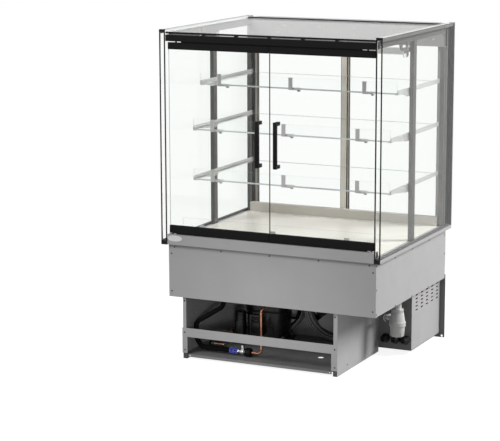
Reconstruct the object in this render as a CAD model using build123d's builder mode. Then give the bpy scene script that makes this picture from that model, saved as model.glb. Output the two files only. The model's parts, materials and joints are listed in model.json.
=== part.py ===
from build123d import *
import os
from math import cos, pi, sin

os.makedirs("parts", exist_ok=True)

# Refrigerated merchandiser with hinged glass front doors and sliding rear doors.
# Millimetres, +Z up, +X to the right as seen from the front, +Y to the back.
# The origin is on the floor under the middle of the cabinet.
# A size called front or back is measured behind the front plane of the side glass.

# Overall sizes
half_width = 500
side_depth = 853
handle_reach = 22
glass_front = -(side_depth - handle_reach) / 2
trim_top = 1414

# Double-glazed sides and glass roof
pane = 5
unit_gap = 17
inner_pane_face = half_width - 2 * pane - unit_gap
unit_front = 0.5
unit_back = 852
unit_top = 1413
roof_bottom = 1397
roof_top = 1405
roof_half = 471.5
roof_front = 6
roof_back = 799

# Rim under the side glass, and the steel sill under the doors
rim_bottom = 502
rim_top = 518
rim_inner = 455
sill_top = 546
sill_back = 46
sheet = 1.5

# Shelf posts and top rails
post_width = 18
post_depth = 33
post_inner = inner_pane_face - post_width
mid_post_front = 416
rear_post_front = 789
rail_bottom = 1368
rear_header_bottom = 1310

# Front doors
door_front = 12.5
door_back = 30
door_outer = 468
door_inner = 1
top_rail = (1334, 1360)
bottom_rail = (551, 581)
door_glass = (18, 24)
hinge_x = 431
hinge_back = 21
pin_radius = 4
pin_hole_radius = 4.05
handle_x = 41
handle_bottom = 862
handle_top = 1054

# Shelves: top face and front edge, from the top down
shelf_glass = 6
shelf_half = 451
shelf_back = 785
shelves = {"upper": (1162, 286), "middle": (973, 216), "lower": (756, 216)}
riser_height = 43
clip_places = (-360, -25, 311)
deck_top = 520
deck_riser_front = 107
deck_riser_top = 602

# Cold well
tub_half = 475
tub_front_face = 19.7
tub_back_face = 848.3
tub_skin = 1.2
tub_bottom = 272.3
well_floor = 330
foam = 30

# Machine base
base_left = -417.7
base_right = 301
base_front = 34.7
base_sheet = 1.2
floor_top = 20
notch_front = 495.3
vent_face = 453.3
rear_plate_back = 850.3
rear_plate_half = 477.5

# Rear sliding doors
inner_track = (806, 819)
outer_track = (830, 843)
slider_bottom = 524
slider_top = 1335
slider_outer = 440
slider_lap = 13


def behind(distance):
    """World Y of a place this far behind the front plane of the side glass."""
    return glass_front + distance


def facing_front(x, back, z):
    """A plane seen from the front: its own X runs to the right and its own Y runs up."""
    return Plane(origin=(x, behind(back), z), x_dir=(1, 0, 0), z_dir=(0, -1, 0))


def facing_back(x, back, z):
    """A plane seen from behind: its own Y runs up."""
    return Plane(origin=(x, behind(back), z), x_dir=(-1, 0, 0), z_dir=(0, 1, 0))


def slab(left, right, front, back, bottom, top, mode=Mode.ADD):
    """A block between two X places, two distances behind the glass front and two heights."""
    with BuildSketch(Plane.XY.offset(bottom)) as footprint:
        with Locations(((left + right) / 2, behind((front + back) / 2))):
            Rectangle(right - left, back - front)
    extrude(to_extrude=footprint.sketch, amount=top - bottom, mode=mode)


def side_plate(corners, left, right, mode=Mode.ADD):
    """A plate across X whose outline is given as (distance behind the front, height)."""
    with BuildSketch(Plane.YZ.offset(left)) as outline:
        with BuildLine():
            Polyline(*[(behind(back), height) for back, height in corners], close=True)
        make_face()
    extrude(to_extrude=outline.sketch, amount=right - left, mode=mode)


def upright(radius, x, back, bottom, top, mode=Mode.ADD):
    """A vertical cylinder."""
    with BuildSketch(Plane.XY.offset(bottom)) as circle:
        with Locations((x, behind(back))):
            Circle(radius)
    extrude(to_extrude=circle.sketch, amount=top - bottom, mode=mode)


def lengthwise(radius, x, z, front, back, mode=Mode.ADD):
    """A cylinder that runs from front to back."""
    with BuildSketch(facing_back(x, front, z)) as circle:
        Circle(radius)
    extrude(to_extrude=circle.sketch, amount=back - front, mode=mode)


def crosswise(radius, back, z, left, right, mode=Mode.ADD):
    """A cylinder that runs from left to right."""
    with BuildSketch(Plane.YZ.offset(left)) as circle:
        with Locations((behind(back), z)):
            Circle(radius)
    extrude(to_extrude=circle.sketch, amount=right - left, mode=mode)


def tube_along(points, radius, bend):
    """A round tube along straight runs joined by arcs; points are (x, distance behind, z)."""
    route = [(x, behind(back), z) for x, back, z in points]
    with BuildLine() as path:
        if len(route) > 2:
            FilletPolyline(*route, radius=bend)
        else:
            Line(*route)
    start = path.line @ 0
    with BuildSketch(Plane(origin=start, z_dir=path.line % 0)) as section:
        Circle(radius)
    sweep(sections=section.sketch, path=path.line)


def rotor(x, back, z, hub_radius, hub_length, tip_radius, chord, blades, pitch):
    """A fan wheel that turns about a front-to-back axis."""
    blade_thickness = 2
    lengthwise(hub_radius, x, z, back - hub_length / 2, back + hub_length / 2)
    for number in range(blades):
        turn = 2 * pi * number / blades
        outward = (cos(turn), 0, sin(turn))
        along = (-sin(turn) * cos(pitch), sin(pitch), cos(turn) * cos(pitch))
        root = Plane(origin=(x, behind(back), z), x_dir=along, z_dir=outward).offset(hub_radius - 3)
        with BuildSketch(root) as blade:
            Rectangle(chord, blade_thickness)
        extrude(to_extrude=blade.sketch, amount=tip_radius - hub_radius + 3)


def save(piece, name):
    """Label a finished piece and write its file."""
    piece.part.label = name
    export_step(piece.part, f"parts/{name}.step")


# Side glass: two panes joined all round by a spacer
spacer = 12
front_spacer = 6


def side_unit(side):
    outer = side * half_width
    near = side * inner_pane_face

    def between(a, b):
        return min(a, b), max(a, b)

    slab(*between(outer, outer - side * pane), unit_front, unit_back, rim_top, unit_top)
    slab(*between(near, near + side * pane), unit_front, unit_back, rim_top, unit_top)
    gap = between(near + side * pane, outer - side * pane)
    slab(*gap, unit_front, unit_front + front_spacer, rim_top, unit_top)
    slab(*gap, unit_back - spacer, unit_back, rim_top, unit_top)
    slab(*gap, unit_front, unit_back, rim_top, rim_top + spacer)
    slab(*gap, unit_front, unit_back, unit_top - spacer, unit_top)


with BuildPart() as side_glass_left:
    side_unit(-1)
save(side_glass_left, "side_glass_left")

with BuildPart() as side_glass_right:
    side_unit(1)
save(side_glass_right, "side_glass_right")

# Black caps on the front corners of the side glass, and the threshold strip under the doors
cap_lip = 1
threshold_half = 434
threshold = (546, 550.6)
nib_radius = 3
nib_x = 455

with BuildPart() as edge_trims:
    slab(inner_pane_face, half_width, -1, unit_front, 1404, trim_top)
    slab(inner_pane_face, half_width, -1, 14, unit_top, trim_top)
    slab(inner_pane_face, half_width, -1, unit_front, rim_bottom - cap_lip, rim_top + 1)
    slab(inner_pane_face, half_width, -1, 14, rim_bottom - cap_lip, rim_bottom)
    upright(nib_radius, nib_x, hinge_back, *threshold)
    mirror(about=Plane.YZ)
    slab(-threshold_half, threshold_half, door_front, door_back, *threshold)
    for side in (-1, 1):
        upright(pin_hole_radius, side * hinge_x, hinge_back, *threshold, mode=Mode.SUBTRACT)
save(edge_trims, "edge_trims")

# Glass roof
with BuildPart() as roof_glass:
    slab(-roof_half, roof_half, roof_front, roof_back, roof_bottom, roof_top)
save(roof_glass, "roof_glass")

# Header bar: an open channel with a bearing block for each upper door pin
header_bottom = 1366
header_top = 1393
header_wall = 3
header_back = 36
bearing_half = 11
filler_half = 405
pad_pitch = 150

with BuildPart() as header_bar:
    slab(-roof_half, roof_half, 2, 2 + header_wall, header_bottom, header_top)
    slab(-roof_half, roof_half, 2, door_back, header_top - header_wall, header_top)
    slab(-roof_half, roof_half, 2, header_back, header_bottom, header_bottom + header_wall)
    slab(-filler_half, filler_half, 14, door_back, top_rail[1] + 0.4, header_bottom)
    for side in (-1, 1):
        middle = side * hinge_x
        slab(middle - bearing_half, middle + bearing_half, 10, 32, header_bottom, 1384)
        upright(pin_hole_radius, middle, hinge_back, header_bottom - 1, 1385, mode=Mode.SUBTRACT)
    for place in range(-2, 3):
        slab(place * pad_pitch - 6, place * pad_pitch + 6, 8, 26, header_top, roof_bottom)
save(header_bar, "header_bar")

# Front sill: a steel box with a bearing block for each lower door pin
with BuildPart() as front_sill:
    slab(-roof_half, roof_half, 2, sill_back, rim_bottom, sill_top)
    slab(-roof_half, roof_half, 2 + sheet, sill_back - sheet, rim_bottom + sheet, sill_top - sheet,
         mode=Mode.SUBTRACT)
    for side in (-1, 1):
        middle = side * hinge_x
        slab(middle - bearing_half, middle + bearing_half, 10, 32, 530, sill_top - sheet)
        upright(pin_hole_radius, middle, hinge_back, 529, sill_top + 1, mode=Mode.SUBTRACT)
save(front_sill, "front_sill")

# Bare oval badge on the sill
badge_x = -436
badge_z = 530
badge_thickness = 1.5

with BuildPart() as sill_badge:
    with BuildSketch(facing_front(badge_x, 2, badge_z)):
        Ellipse(35, 13)
    extrude(amount=badge_thickness)
    fillet(sill_badge.faces().sort_by(Axis.Y)[0].edges(), radius=0.8)
save(sill_badge, "sill_badge")

# Rims that carry the side glass
with BuildPart() as rim_rails:
    slab(inner_pane_face, half_width, unit_front, sill_back, rim_bottom, rim_top)
    slab(rim_inner, half_width, sill_back, side_depth, rim_bottom, rim_top)
    mirror(about=Plane.YZ)
save(rim_rails, "rim_rails")

# Posts that carry the shelves and the roof
with BuildPart() as shelf_posts:
    slab(post_inner, inner_pane_face, mid_post_front, mid_post_front + post_depth, rim_top, rail_bottom)
    slab(post_inner, inner_pane_face, rear_post_front, rear_post_front + post_depth,
         rim_top, rear_header_bottom)
    mirror(about=Plane.YZ)
save(shelf_posts, "shelf_posts")

with BuildPart() as top_rails:
    slab(post_inner, inner_pane_face, header_back, rear_post_front, rail_bottom, roof_bottom)
    mirror(about=Plane.YZ)
save(top_rails, "top_rails")

# Rear header: a box across the back with two tracks for the sliding doors
track_wall = 803
divider = (823, 825)
header_rear_top = 1410
channel_half = 440.5

with BuildPart() as rear_header:
    slab(-472, 472, rear_post_front, rear_post_front + sheet, rear_header_bottom, roof_bottom)
    slab(-472, 472, rear_post_front, roof_back + 1, roof_bottom - sheet, roof_bottom)
    slab(-472, 472, rear_post_front, track_wall + sheet, rear_header_bottom, rear_header_bottom + sheet)
    slab(-472, 472, roof_back + 1, roof_back + 1 + sheet, roof_bottom - sheet, header_rear_top)
    slab(-472, 472, roof_back + 1, 822, header_rear_top - sheet, header_rear_top)
    slab(-472, 472, track_wall, track_wall + sheet, rear_header_bottom, header_rear_top)
    slab(-channel_half, channel_half, 822, 851, header_rear_top - sheet, header_rear_top)
    slab(-channel_half, channel_half, *divider, rear_header_bottom + 8, header_rear_top)
    slab(-channel_half, channel_half, 849.5, 851, rear_header_bottom, header_rear_top)
save(rear_header, "rear_header")

# Rear sill: a box behind the deck with the lower tracks
sill_foot = 503
rear_sill_top = 560
rear_sill_front = 778
rear_sill_half = 454

with BuildPart() as rear_sill:
    slab(-rear_sill_half, rear_sill_half, rear_sill_front, track_wall + sheet, sill_foot, rear_sill_top)
    slab(-rear_sill_half, rear_sill_half, rear_sill_front + sheet, track_wall,
         sill_foot + sheet, rear_sill_top - sheet, mode=Mode.SUBTRACT)
    slab(-rear_sill_half, rear_sill_half, track_wall, 822, deck_top, deck_top + sheet)
    slab(-rear_sill_half, rear_sill_half, track_wall, 822, sill_foot, sill_foot + sheet)
    slab(-channel_half, channel_half, 822, 851, deck_top, deck_top + sheet)
    slab(-channel_half, channel_half, 822, 851, sill_foot, sill_foot + sheet)
    slab(-channel_half, channel_half, *divider, deck_top, deck_top + 10)
    slab(-channel_half, channel_half, 849.5, 851, sill_foot, 545)
save(rear_sill, "rear_sill")

# Upright channels in the two rear corners
with BuildPart() as corner_profiles:
    slab(441, inner_pane_face, 822, 823.5, rim_top, roof_bottom)
    slab(inner_pane_face - sheet, inner_pane_face, 822, side_depth, rim_top, roof_bottom)
    slab(441, inner_pane_face, side_depth - sheet, side_depth, rim_top, roof_bottom)
    mirror(about=Plane.YZ)
save(corner_profiles, "corner_profiles")

# Lamp across the cabinet, hung from a slotted plate on each side
lamp_half = 440
lamp_front = 380
lamp_back = 425
bracket_inner = 452
bracket_slots = ((331, 373, 1345, 1359), (398, 415, 1340, 1364), (439, 455, 1344, 1364))

with BuildPart() as lamp_housing:
    slab(0, lamp_half, lamp_front, lamp_back, 1318, 1336)
    side_plate([(375, 1306), (381, 1300), (424, 1300), (430, 1306), (430, 1338), (375, 1338)],
               lamp_half, lamp_half + 4)
    crosswise(6, 402, 1330, lamp_half + 4, bracket_inner)
    side_plate([(300, 1352), (316, 1336), (380, 1322), (462, 1322), (462, 1392), (300, 1392)],
               bracket_inner, post_inner)
    for front, back, bottom, top in bracket_slots:
        slab(bracket_inner, post_inner, front, back, bottom, top, mode=Mode.SUBTRACT)
    mirror(about=Plane.YZ)
save(lamp_housing, "lamp_housing")

with BuildPart() as lamp_diffuser:
    slab(-lamp_half + 2, lamp_half - 2, lamp_front + 4, lamp_back - 4, 1311, 1318)
    fillet(lamp_diffuser.edges().filter_by(Axis.X).group_by(Axis.Z)[0], radius=4)
save(lamp_diffuser, "lamp_diffuser")

# Glass shelves
with BuildPart() as upper_shelf:
    slab(-shelf_half, shelf_half, shelves["upper"][1], shelf_back,
         shelves["upper"][0] - shelf_glass, shelves["upper"][0])
save(upper_shelf, "upper_shelf")

with BuildPart() as middle_shelf:
    slab(-shelf_half, shelf_half, shelves["middle"][1], shelf_back,
         shelves["middle"][0] - shelf_glass, shelves["middle"][0])
save(middle_shelf, "middle_shelf")

with BuildPart() as lower_shelf:
    slab(-shelf_half, shelf_half, shelves["lower"][1], shelf_back,
         shelves["lower"][0] - shelf_glass, shelves["lower"][0])
save(lower_shelf, "lower_shelf")

# Shelf arms: an angle under each end of a shelf, deeper where it meets the middle post
arm_thickness = 3
ledge = 2.5
ledge_width = 12
arm_rise = 11
gusset = 18
arm_back = 815

with BuildPart() as shelf_arms:
    for top, edge in shelves.values():
        seat = top - shelf_glass
        outline = [(edge, seat - ledge), (edge + 46, seat - ledge), (390, seat - gusset),
                   (mid_post_front + post_depth, seat - gusset),
                   (mid_post_front + post_depth + 8, seat - ledge), (arm_back, seat - ledge),
                   (arm_back, top + arm_rise), (edge, top + arm_rise)]
        side_plate(outline, post_inner - arm_thickness, post_inner)
        slab(post_inner - arm_thickness - ledge_width, post_inner - arm_thickness,
             edge, shelf_back, seat - ledge, seat)
    mirror(about=Plane.YZ)
save(shelf_arms, "shelf_arms")

# Clear upright strips along the front edges of the shelves and the deck
riser_thickness = 3

with BuildPart() as shelf_risers:
    for top, edge in shelves.values():
        slab(-shelf_half, shelf_half, edge - 3.5, edge - 0.5, top - shelf_glass, top + riser_height)
    slab(-shelf_half, shelf_half, deck_riser_front, deck_riser_front + riser_thickness,
         deck_top + 2, deck_riser_top)
save(shelf_risers, "shelf_risers")

# Clips that hold the strips, each with a thumb knob under the shelf
finger = 18
strap_width = 46
knob_offset = 28
deck_clip = 23

with BuildPart() as riser_clips:
    for top, edge in shelves.values():
        seat = top - shelf_glass
        for place in clip_places:
            slab(place - finger / 2, place + finger / 2, edge - 6.5, edge - 3.5, seat - 3, top + riser_height)
            slab(place - finger / 2, place - finger / 2 + strap_width, edge - 6.5, edge + 32, seat - 3, seat)
            upright(7, place + knob_offset, edge + 20, seat - 11, seat - 3)
    for place in clip_places:
        slab(place - deck_clip / 2, place + deck_clip / 2, deck_riser_front - 3, deck_riser_front,
             deck_top, 576)
        slab(place - deck_clip / 2, place + deck_clip / 2, deck_riser_front - 3, deck_riser_front + 33,
             deck_top, deck_top + 2)
save(riser_clips, "riser_clips")

# Front doors: glass held in a black rail at the top and the bottom, turning on two pins
glass_bottom = bottom_rail[0] + 5
glass_top = top_rail[1] - 6
glass_inner = door_inner + 0.2
glass_outer = door_outer - 2.5
bolt_radius = 4
bar_width = 14
bar_depth = 12
stub_height = 15


def door_pane():
    slab(glass_inner, glass_outer, *door_glass, glass_bottom, glass_top)
    for height in (handle_bottom + stub_height / 2, handle_top - stub_height / 2):
        lengthwise(bolt_radius, handle_x, height, *door_glass, mode=Mode.SUBTRACT)


def door_rail_pair(body):
    slab(door_inner, door_outer, door_front, door_back, *bottom_rail)
    slab(door_inner, door_outer, door_front, door_back, *top_rail)
    outer_edges = body.edges().filter_by(Axis.Z).group_by(Axis.X)[-1]
    fillet(outer_edges, radius=5)
    slab(glass_inner, glass_outer, *door_glass, glass_bottom, glass_top, mode=Mode.SUBTRACT)
    upright(pin_radius, hinge_x, hinge_back, top_rail[1], 1382)
    upright(pin_radius, hinge_x, hinge_back, 534, bottom_rail[0])
    for left, right in ((376, 413), (427, 437)):
        slab(left, right, 14, door_glass[0], top_rail[0] - 2.5, top_rail[0])
        slab(left, right, door_glass[1], 28, top_rail[0] - 2.5, top_rail[0])


def door_handle():
    slab(handle_x - bar_width / 2, handle_x + bar_width / 2, -handle_reach, bar_depth - handle_reach,
         handle_bottom, handle_top)
    for low in (handle_bottom, handle_top - stub_height):
        slab(handle_x - bar_width / 2, handle_x + bar_width / 2, bar_depth - handle_reach, door_glass[0],
             low, low + stub_height)
        lengthwise(bolt_radius, handle_x, low + stub_height / 2, *door_glass)
        lengthwise(8, handle_x, low + stub_height / 2, door_glass[1], door_glass[1] + 3)


with BuildPart() as right_door_glass:
    door_pane()
save(right_door_glass, "right_door_glass")

with BuildPart() as right_door_rails:
    door_rail_pair(right_door_rails)
save(right_door_rails, "right_door_rails")

with BuildPart() as right_door_handle:
    door_handle()
save(right_door_handle, "right_door_handle")

with BuildPart() as left_door_glass:
    mirror(right_door_glass.part, about=Plane.YZ)
save(left_door_glass, "left_door_glass")

with BuildPart() as left_door_rails:
    mirror(right_door_rails.part, about=Plane.YZ)
save(left_door_rails, "left_door_rails")

with BuildPart() as left_door_handle:
    mirror(right_door_handle.part, about=Plane.YZ)
save(left_door_handle, "left_door_handle")

# Sliding rear doors
meeting_stile = 26
outer_stile = 10
slider_rail = 18
slider_glass = 4
grip_reach = 8


def slider_opening(side):
    inner = -side * slider_lap + side * meeting_stile
    outer = side * (slider_outer - outer_stile)
    return min(inner, outer), max(inner, outer)


def slider_frame(side, track):
    edges = (-side * slider_lap, side * slider_outer)
    slab(min(edges), max(edges), *track, slider_bottom, slider_top)
    slab(*slider_opening(side), *track, slider_bottom + slider_rail, slider_top - slider_rail,
         mode=Mode.SUBTRACT)
    grip_x = side * (slider_outer - outer_stile / 2)
    slab(grip_x - 5, grip_x + 5, track[1], track[1] + grip_reach, 860, 1000)


def slider_pane(side, track):
    middle = (track[0] + track[1]) / 2
    slab(*slider_opening(side), middle - slider_glass / 2, middle + slider_glass / 2,
         slider_bottom + slider_rail, slider_top - slider_rail)


with BuildPart() as rear_door_left_frame:
    slider_frame(-1, inner_track)
save(rear_door_left_frame, "rear_door_left_frame")

with BuildPart() as rear_door_left_glass:
    slider_pane(-1, inner_track)
save(rear_door_left_glass, "rear_door_left_glass")

with BuildPart() as rear_door_right_frame:
    slider_frame(1, outer_track)
save(rear_door_right_frame, "rear_door_right_frame")

with BuildPart() as rear_door_right_glass:
    slider_pane(1, outer_track)
save(rear_door_right_glass, "rear_door_right_glass")

# Cold well: outer sheets, foam and liner
skin_inner = tub_half - tub_skin
skin_front = tub_front_face + tub_skin
skin_back = tub_back_face - tub_skin
foam_inner = skin_inner - foam
foam_front = skin_front + foam
foam_back = skin_back - foam
foam_bottom = well_floor + tub_skin
liner_bottom = foam_bottom + foam
liner_sheet = 1
liner_half = rim_inner - 0.5

with BuildPart() as tub_front:
    slab(-tub_half, tub_half, tub_front_face, skin_front, tub_bottom, rim_bottom)
    slab(-tub_half, tub_half, skin_front, skin_front + 11, tub_bottom, tub_bottom + tub_skin)
save(tub_front, "tub_front")

with BuildPart() as tub_sides:
    slab(skin_inner, tub_half, skin_front, skin_back, tub_bottom + tub_skin, rim_bottom)
    mirror(about=Plane.YZ)
save(tub_sides, "tub_sides")

with BuildPart() as tub_floor:
    slab(-skin_inner, skin_inner, skin_front, skin_back, well_floor, foam_bottom)
    slab(-tub_half, tub_half, skin_back, tub_back_face, well_floor, rim_bottom)
save(tub_floor, "tub_floor")

with BuildPart() as tub_insulation:
    slab(-skin_inner, skin_inner, skin_front, skin_back, foam_bottom, rim_bottom)
    slab(-foam_inner, foam_inner, foam_front, foam_back, liner_bottom, rim_bottom, mode=Mode.SUBTRACT)
save(tub_insulation, "tub_insulation")

with BuildPart() as tub_liner:
    slab(-foam_inner, foam_inner, foam_front, foam_back, liner_bottom, rim_bottom)
    slab(-liner_half, liner_half, sill_back + 0.5, tub_back_face, rim_bottom, rim_bottom + liner_sheet)
    slab(-foam_inner + liner_sheet, foam_inner - liner_sheet, foam_front + liner_sheet,
         foam_back - liner_sheet, liner_bottom + liner_sheet, rim_bottom + liner_sheet, mode=Mode.SUBTRACT)
save(tub_liner, "tub_liner")

# Deck over the cold well, with air slots along its front and back
deck_half = 454
deck_front = 47
deck_back = rear_sill_front - 0.5
deck_sheet = 2
slot_length = 60
slot_width = 6

with BuildPart() as deck_plate:
    slab(-deck_half, deck_half, deck_front, deck_back, sill_foot, deck_top)
    slab(-deck_half + deck_sheet, deck_half - deck_sheet, deck_front + deck_sheet, deck_back - deck_sheet,
         sill_foot, deck_top - deck_sheet, mode=Mode.SUBTRACT)
    for row in (64, 76, 748, 760):
        with BuildSketch(Plane.XY.offset(deck_top)):
            with Locations((0, behind(row))):
                with GridLocations(slot_length + 20, 1, 10, 1):
                    SlotOverall(slot_length, slot_width)
        extrude(amount=-deck_sheet, mode=Mode.SUBTRACT)
save(deck_plate, "deck_plate")

# Base floor: a pan with a folded front lip, wider behind the recess on the right
lip_front = 38.8
lip_bottom = 8
floor_left = base_left + base_sheet
floor_right = base_right - base_sheet
recess_back = notch_front + base_sheet

with BuildPart() as base_floor:
    slab(floor_left, floor_right, lip_front, tub_back_face, floor_top - base_sheet, floor_top)
    slab(floor_right, vent_face - base_sheet, recess_back, tub_back_face,
         floor_top - base_sheet, floor_top)
    slab(-396, 274, lip_front, lip_front + base_sheet, lip_bottom, floor_top)
    upright(12.5, 143, 228, floor_top - base_sheet, floor_top, mode=Mode.SUBTRACT)
    for place in (-388, 265):
        lengthwise(2.5, place, 14, lip_front, lip_front + base_sheet, mode=Mode.SUBTRACT)
save(base_floor, "base_floor")

# Base side panels, each folded in at the front
with BuildPart() as base_sides:
    slab(base_left, floor_left, base_front, tub_back_face, 0, well_floor)
    slab(base_left, -402, base_front, base_front + base_sheet, 25, well_floor)
    slab(floor_right, base_right, base_front, notch_front, 0, well_floor)
    slab(283, base_right, base_front, base_front + base_sheet, 25, well_floor)
save(base_sides, "base_sides")

# Front frame of the base: a bar with a leg at each end
frame_left = -421
frame_right = 301.5
frame_bottom = 25
frame_top = 136
bar_bottom = 97

with BuildPart() as base_front_frame:
    with BuildSketch(facing_front(0, base_front, 0)):
        with BuildLine():
            Polyline((frame_left, frame_bottom), (frame_left, frame_top), (frame_right, frame_top),
                     (frame_right, frame_bottom), (274, frame_bottom), (274, bar_bottom),
                     (-397, bar_bottom), (-397, frame_bottom), close=True)
        make_face()
    extrude(amount=base_sheet)
save(base_front_frame, "base_front_frame")

# Recess on the right of the base: its back wall and the vented panel beside it
vent_columns = 5
vent_rows = 5
vent_pitch = 64.25
vent_rise = 16.5
gland_places = (337, 386, 429)
gland_z = 67
gland_shank = 10
panel_bottom = 22

with BuildPart() as notch_panels:
    slab(base_right, vent_face, notch_front, recess_back, panel_bottom, well_floor)
    slab(vent_face - base_sheet, vent_face, recess_back, tub_back_face, panel_bottom, well_floor)
    with BuildSketch(Plane.YZ.offset(vent_face)):
        with Locations((behind(554 + vent_pitch * (vent_columns - 1) / 2), 190 + vent_rise * (vent_rows - 1) / 2)):
            with GridLocations(vent_pitch, vent_rise, vent_columns, vent_rows):
                SlotOverall(26, 6)
    extrude(amount=-base_sheet, mode=Mode.SUBTRACT)
    for place in gland_places:
        lengthwise(gland_shank, place, gland_z, notch_front, recess_back, mode=Mode.SUBTRACT)
save(notch_panels, "notch_panels")

# Rear plate of the base, with air slots behind the condenser and a cut-out for the controls
panel_box = (335, 445, 155, 225)

with BuildPart() as base_rear_plate:
    slab(-rear_plate_half, rear_plate_half, tub_back_face, rear_plate_back, 0, 290)
    with BuildSketch(facing_back(-58, rear_plate_back, 150)):
        with GridLocations(95, 18, 5, 9):
            SlotOverall(75, 7)
    extrude(amount=-(rear_plate_back - tub_back_face), mode=Mode.SUBTRACT)
    slab(panel_box[0], panel_box[1], tub_back_face, rear_plate_back, panel_box[2], panel_box[3],
         mode=Mode.SUBTRACT)
    lengthwise(5, 465, 7, tub_back_face, rear_plate_back, mode=Mode.SUBTRACT)
save(base_rear_plate, "base_rear_plate")

# Feet under the floor pan; the front pair stands up in front of the lip
with BuildPart() as base_feet:
    for left in (-416, 281):
        slab(left, left + 17, base_front + 1.3, 58, 0, floor_top - base_sheet)
        slab(left, left + 17, base_front + 1.3, lip_front - 0.1, floor_top - base_sheet, 27)
    for left in (-416, 380):
        slab(left, left + 17, 822, 844, 0, floor_top - base_sheet)
save(base_feet, "base_feet")

# Controls at the back, with a rocker switch
control_back = 852.3
switch_x = 355
switch_z = 190
switch_pivot = 849
switch_half = (6, 10)
switch_clear = (6.4, 11.6)

with BuildPart() as control_panel:
    slab(panel_box[0], panel_box[1], 800, rear_plate_back, panel_box[2], panel_box[3])
    slab(panel_box[0] - 5, panel_box[1] + 5, rear_plate_back, control_back, panel_box[2] - 5, panel_box[3] + 5)
    slab(panel_box[0] + 2, panel_box[1] - 2, 802, switch_pivot - 1, panel_box[2] + 2, panel_box[3] - 2,
         mode=Mode.SUBTRACT)
    slab(switch_x - switch_clear[0], switch_x + switch_clear[0], switch_pivot - 2, control_back,
         switch_z - switch_clear[1], switch_z + switch_clear[1], mode=Mode.SUBTRACT)
    slab(390, 435, control_back - 0.8, control_back, 178, 202, mode=Mode.SUBTRACT)
save(control_panel, "control_panel")

with BuildPart() as power_switch:
    side_plate([(844.5, switch_z - 7), (844.5, switch_z + 7), (850, switch_z + switch_half[1]),
                (853.0, switch_z + switch_half[1]), (851.6, switch_z), (853.0, switch_z - switch_half[1]),
                (850, switch_z - switch_half[1])],
               switch_x - switch_half[0], switch_x + switch_half[0])
save(power_switch, "power_switch")

# Compressor: a rounded shell, wider at the top, on a foot plate with rubber mounts, with a cover in front
compressor_x = -180
compressor_back = 400

with BuildPart() as compressor:
    with BuildSketch(Plane.XY.offset(45)):
        with Locations((compressor_x, behind(compressor_back))):
            RectangleRounded(184, 132, 52)
    extrude(amount=195, taper=-2.5)
    fillet(compressor.edges().group_by(Axis.Z)[-1], radius=30)
    slab(compressor_x - 84, compressor_x + 102, compressor_back - 60, compressor_back + 60, 38, 46)
    for x in (compressor_x - 78, compressor_x + 88):
        for back in (compressor_back - 46, compressor_back + 46):
            upright(12, x, back, floor_top, 38)
            upright(5, x, back, 46, 60)
    slab(compressor_x - 52, compressor_x + 8, compressor_back - 92, compressor_back - 50, 62, 152)
save(compressor, "compressor")

# Liquid receiver
receiver_x = -281.5
receiver_back = 318

with BuildPart() as receiver:
    upright(26, receiver_x, receiver_back, floor_top, 162)
    fillet(receiver.edges().group_by(Axis.Z)[-1], radius=4)
    lengthwise(7, receiver_x, 140, receiver_back, receiver_back + 36)
    crosswise(7, receiver_back, 62, receiver_x - 36, receiver_x)
    slab(receiver_x - 27, receiver_x + 27, receiver_back - 30, receiver_back + 20, floor_top, floor_top + 3)
save(receiver, "receiver")

# Condenser: a finned core between end plates
core_left = -350
core_right = 235
core_front = 570
core_back = 615

with BuildPart() as condenser:
    slab(core_left + 4, core_right - 4, core_front, core_back, 35, 298)
    slab(core_left, core_left + 4, core_front - 11, core_back, floor_top, 304)
    slab(core_right - 4, core_right, core_front - 11, core_back, floor_top, 304)
    for level in range(6):
        for side in (core_left, core_right):
            out = -9 if side < 0 else 9
            height = 58 + level * 42
            slab(min(side, side + out), max(side, side + out), core_front + 8, core_front + 36,
                 height, height + 9)
save(condenser, "condenser")

# Fan shroud: a plate with two stepped rings, and a motor on three arms in each
shroud = (555, 558)
fan_centres = (-206, 87)
fan_z = 168
ring_outer = 144
ring_inner = 130
motor_radius = 28
shaft_radius = 4

with BuildPart() as fan_shroud:
    slab(core_left, core_right, *shroud, floor_top, 304)
    for centre in fan_centres:
        lengthwise(ring_outer, centre, fan_z, 500, shroud[0])
    for centre in fan_centres:
        lengthwise(ring_outer - 2, centre, fan_z, 500, 512, mode=Mode.SUBTRACT)
        lengthwise(ring_outer - 8, centre, fan_z, 512, 530, mode=Mode.SUBTRACT)
        lengthwise(ring_inner, centre, fan_z, 530, shroud[1], mode=Mode.SUBTRACT)
    for centre in fan_centres:
        lengthwise(motor_radius, centre, fan_z, 546, 566)
        lengthwise(shaft_radius, centre, fan_z, 525, 546)
        slab(centre - 6, centre + 6, shroud[1], shroud[1] + 3, fan_z - ring_inner - 6, fan_z + ring_inner + 6)
        slab(centre - ring_inner - 6, centre + ring_inner + 6, shroud[1], shroud[1] + 3, fan_z - 6, fan_z + 6)
save(fan_shroud, "fan_shroud")

fan_names = ("condenser_fan_left", "condenser_fan_right")

with BuildPart() as condenser_fan_left:
    rotor(fan_centres[0], 533, fan_z, 24, 18, 120, 52, 5, pi / 7)
    lengthwise(shaft_radius + 0.05, fan_centres[0], fan_z, 520, 546, mode=Mode.SUBTRACT)
save(condenser_fan_left, fan_names[0])

with BuildPart() as condenser_fan_right:
    rotor(fan_centres[1], 533, fan_z, 24, 18, 120, 52, 5, pi / 7)
    lengthwise(shaft_radius + 0.05, fan_centres[1], fan_z, 520, 546, mode=Mode.SUBTRACT)
save(condenser_fan_right, fan_names[1])

# Copper pipes and the filter drier
pipe_radius = 4.75
line_back = 105
line_z = 40
clip_left = -227
valve_left = -181
valve_right = -152

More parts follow.
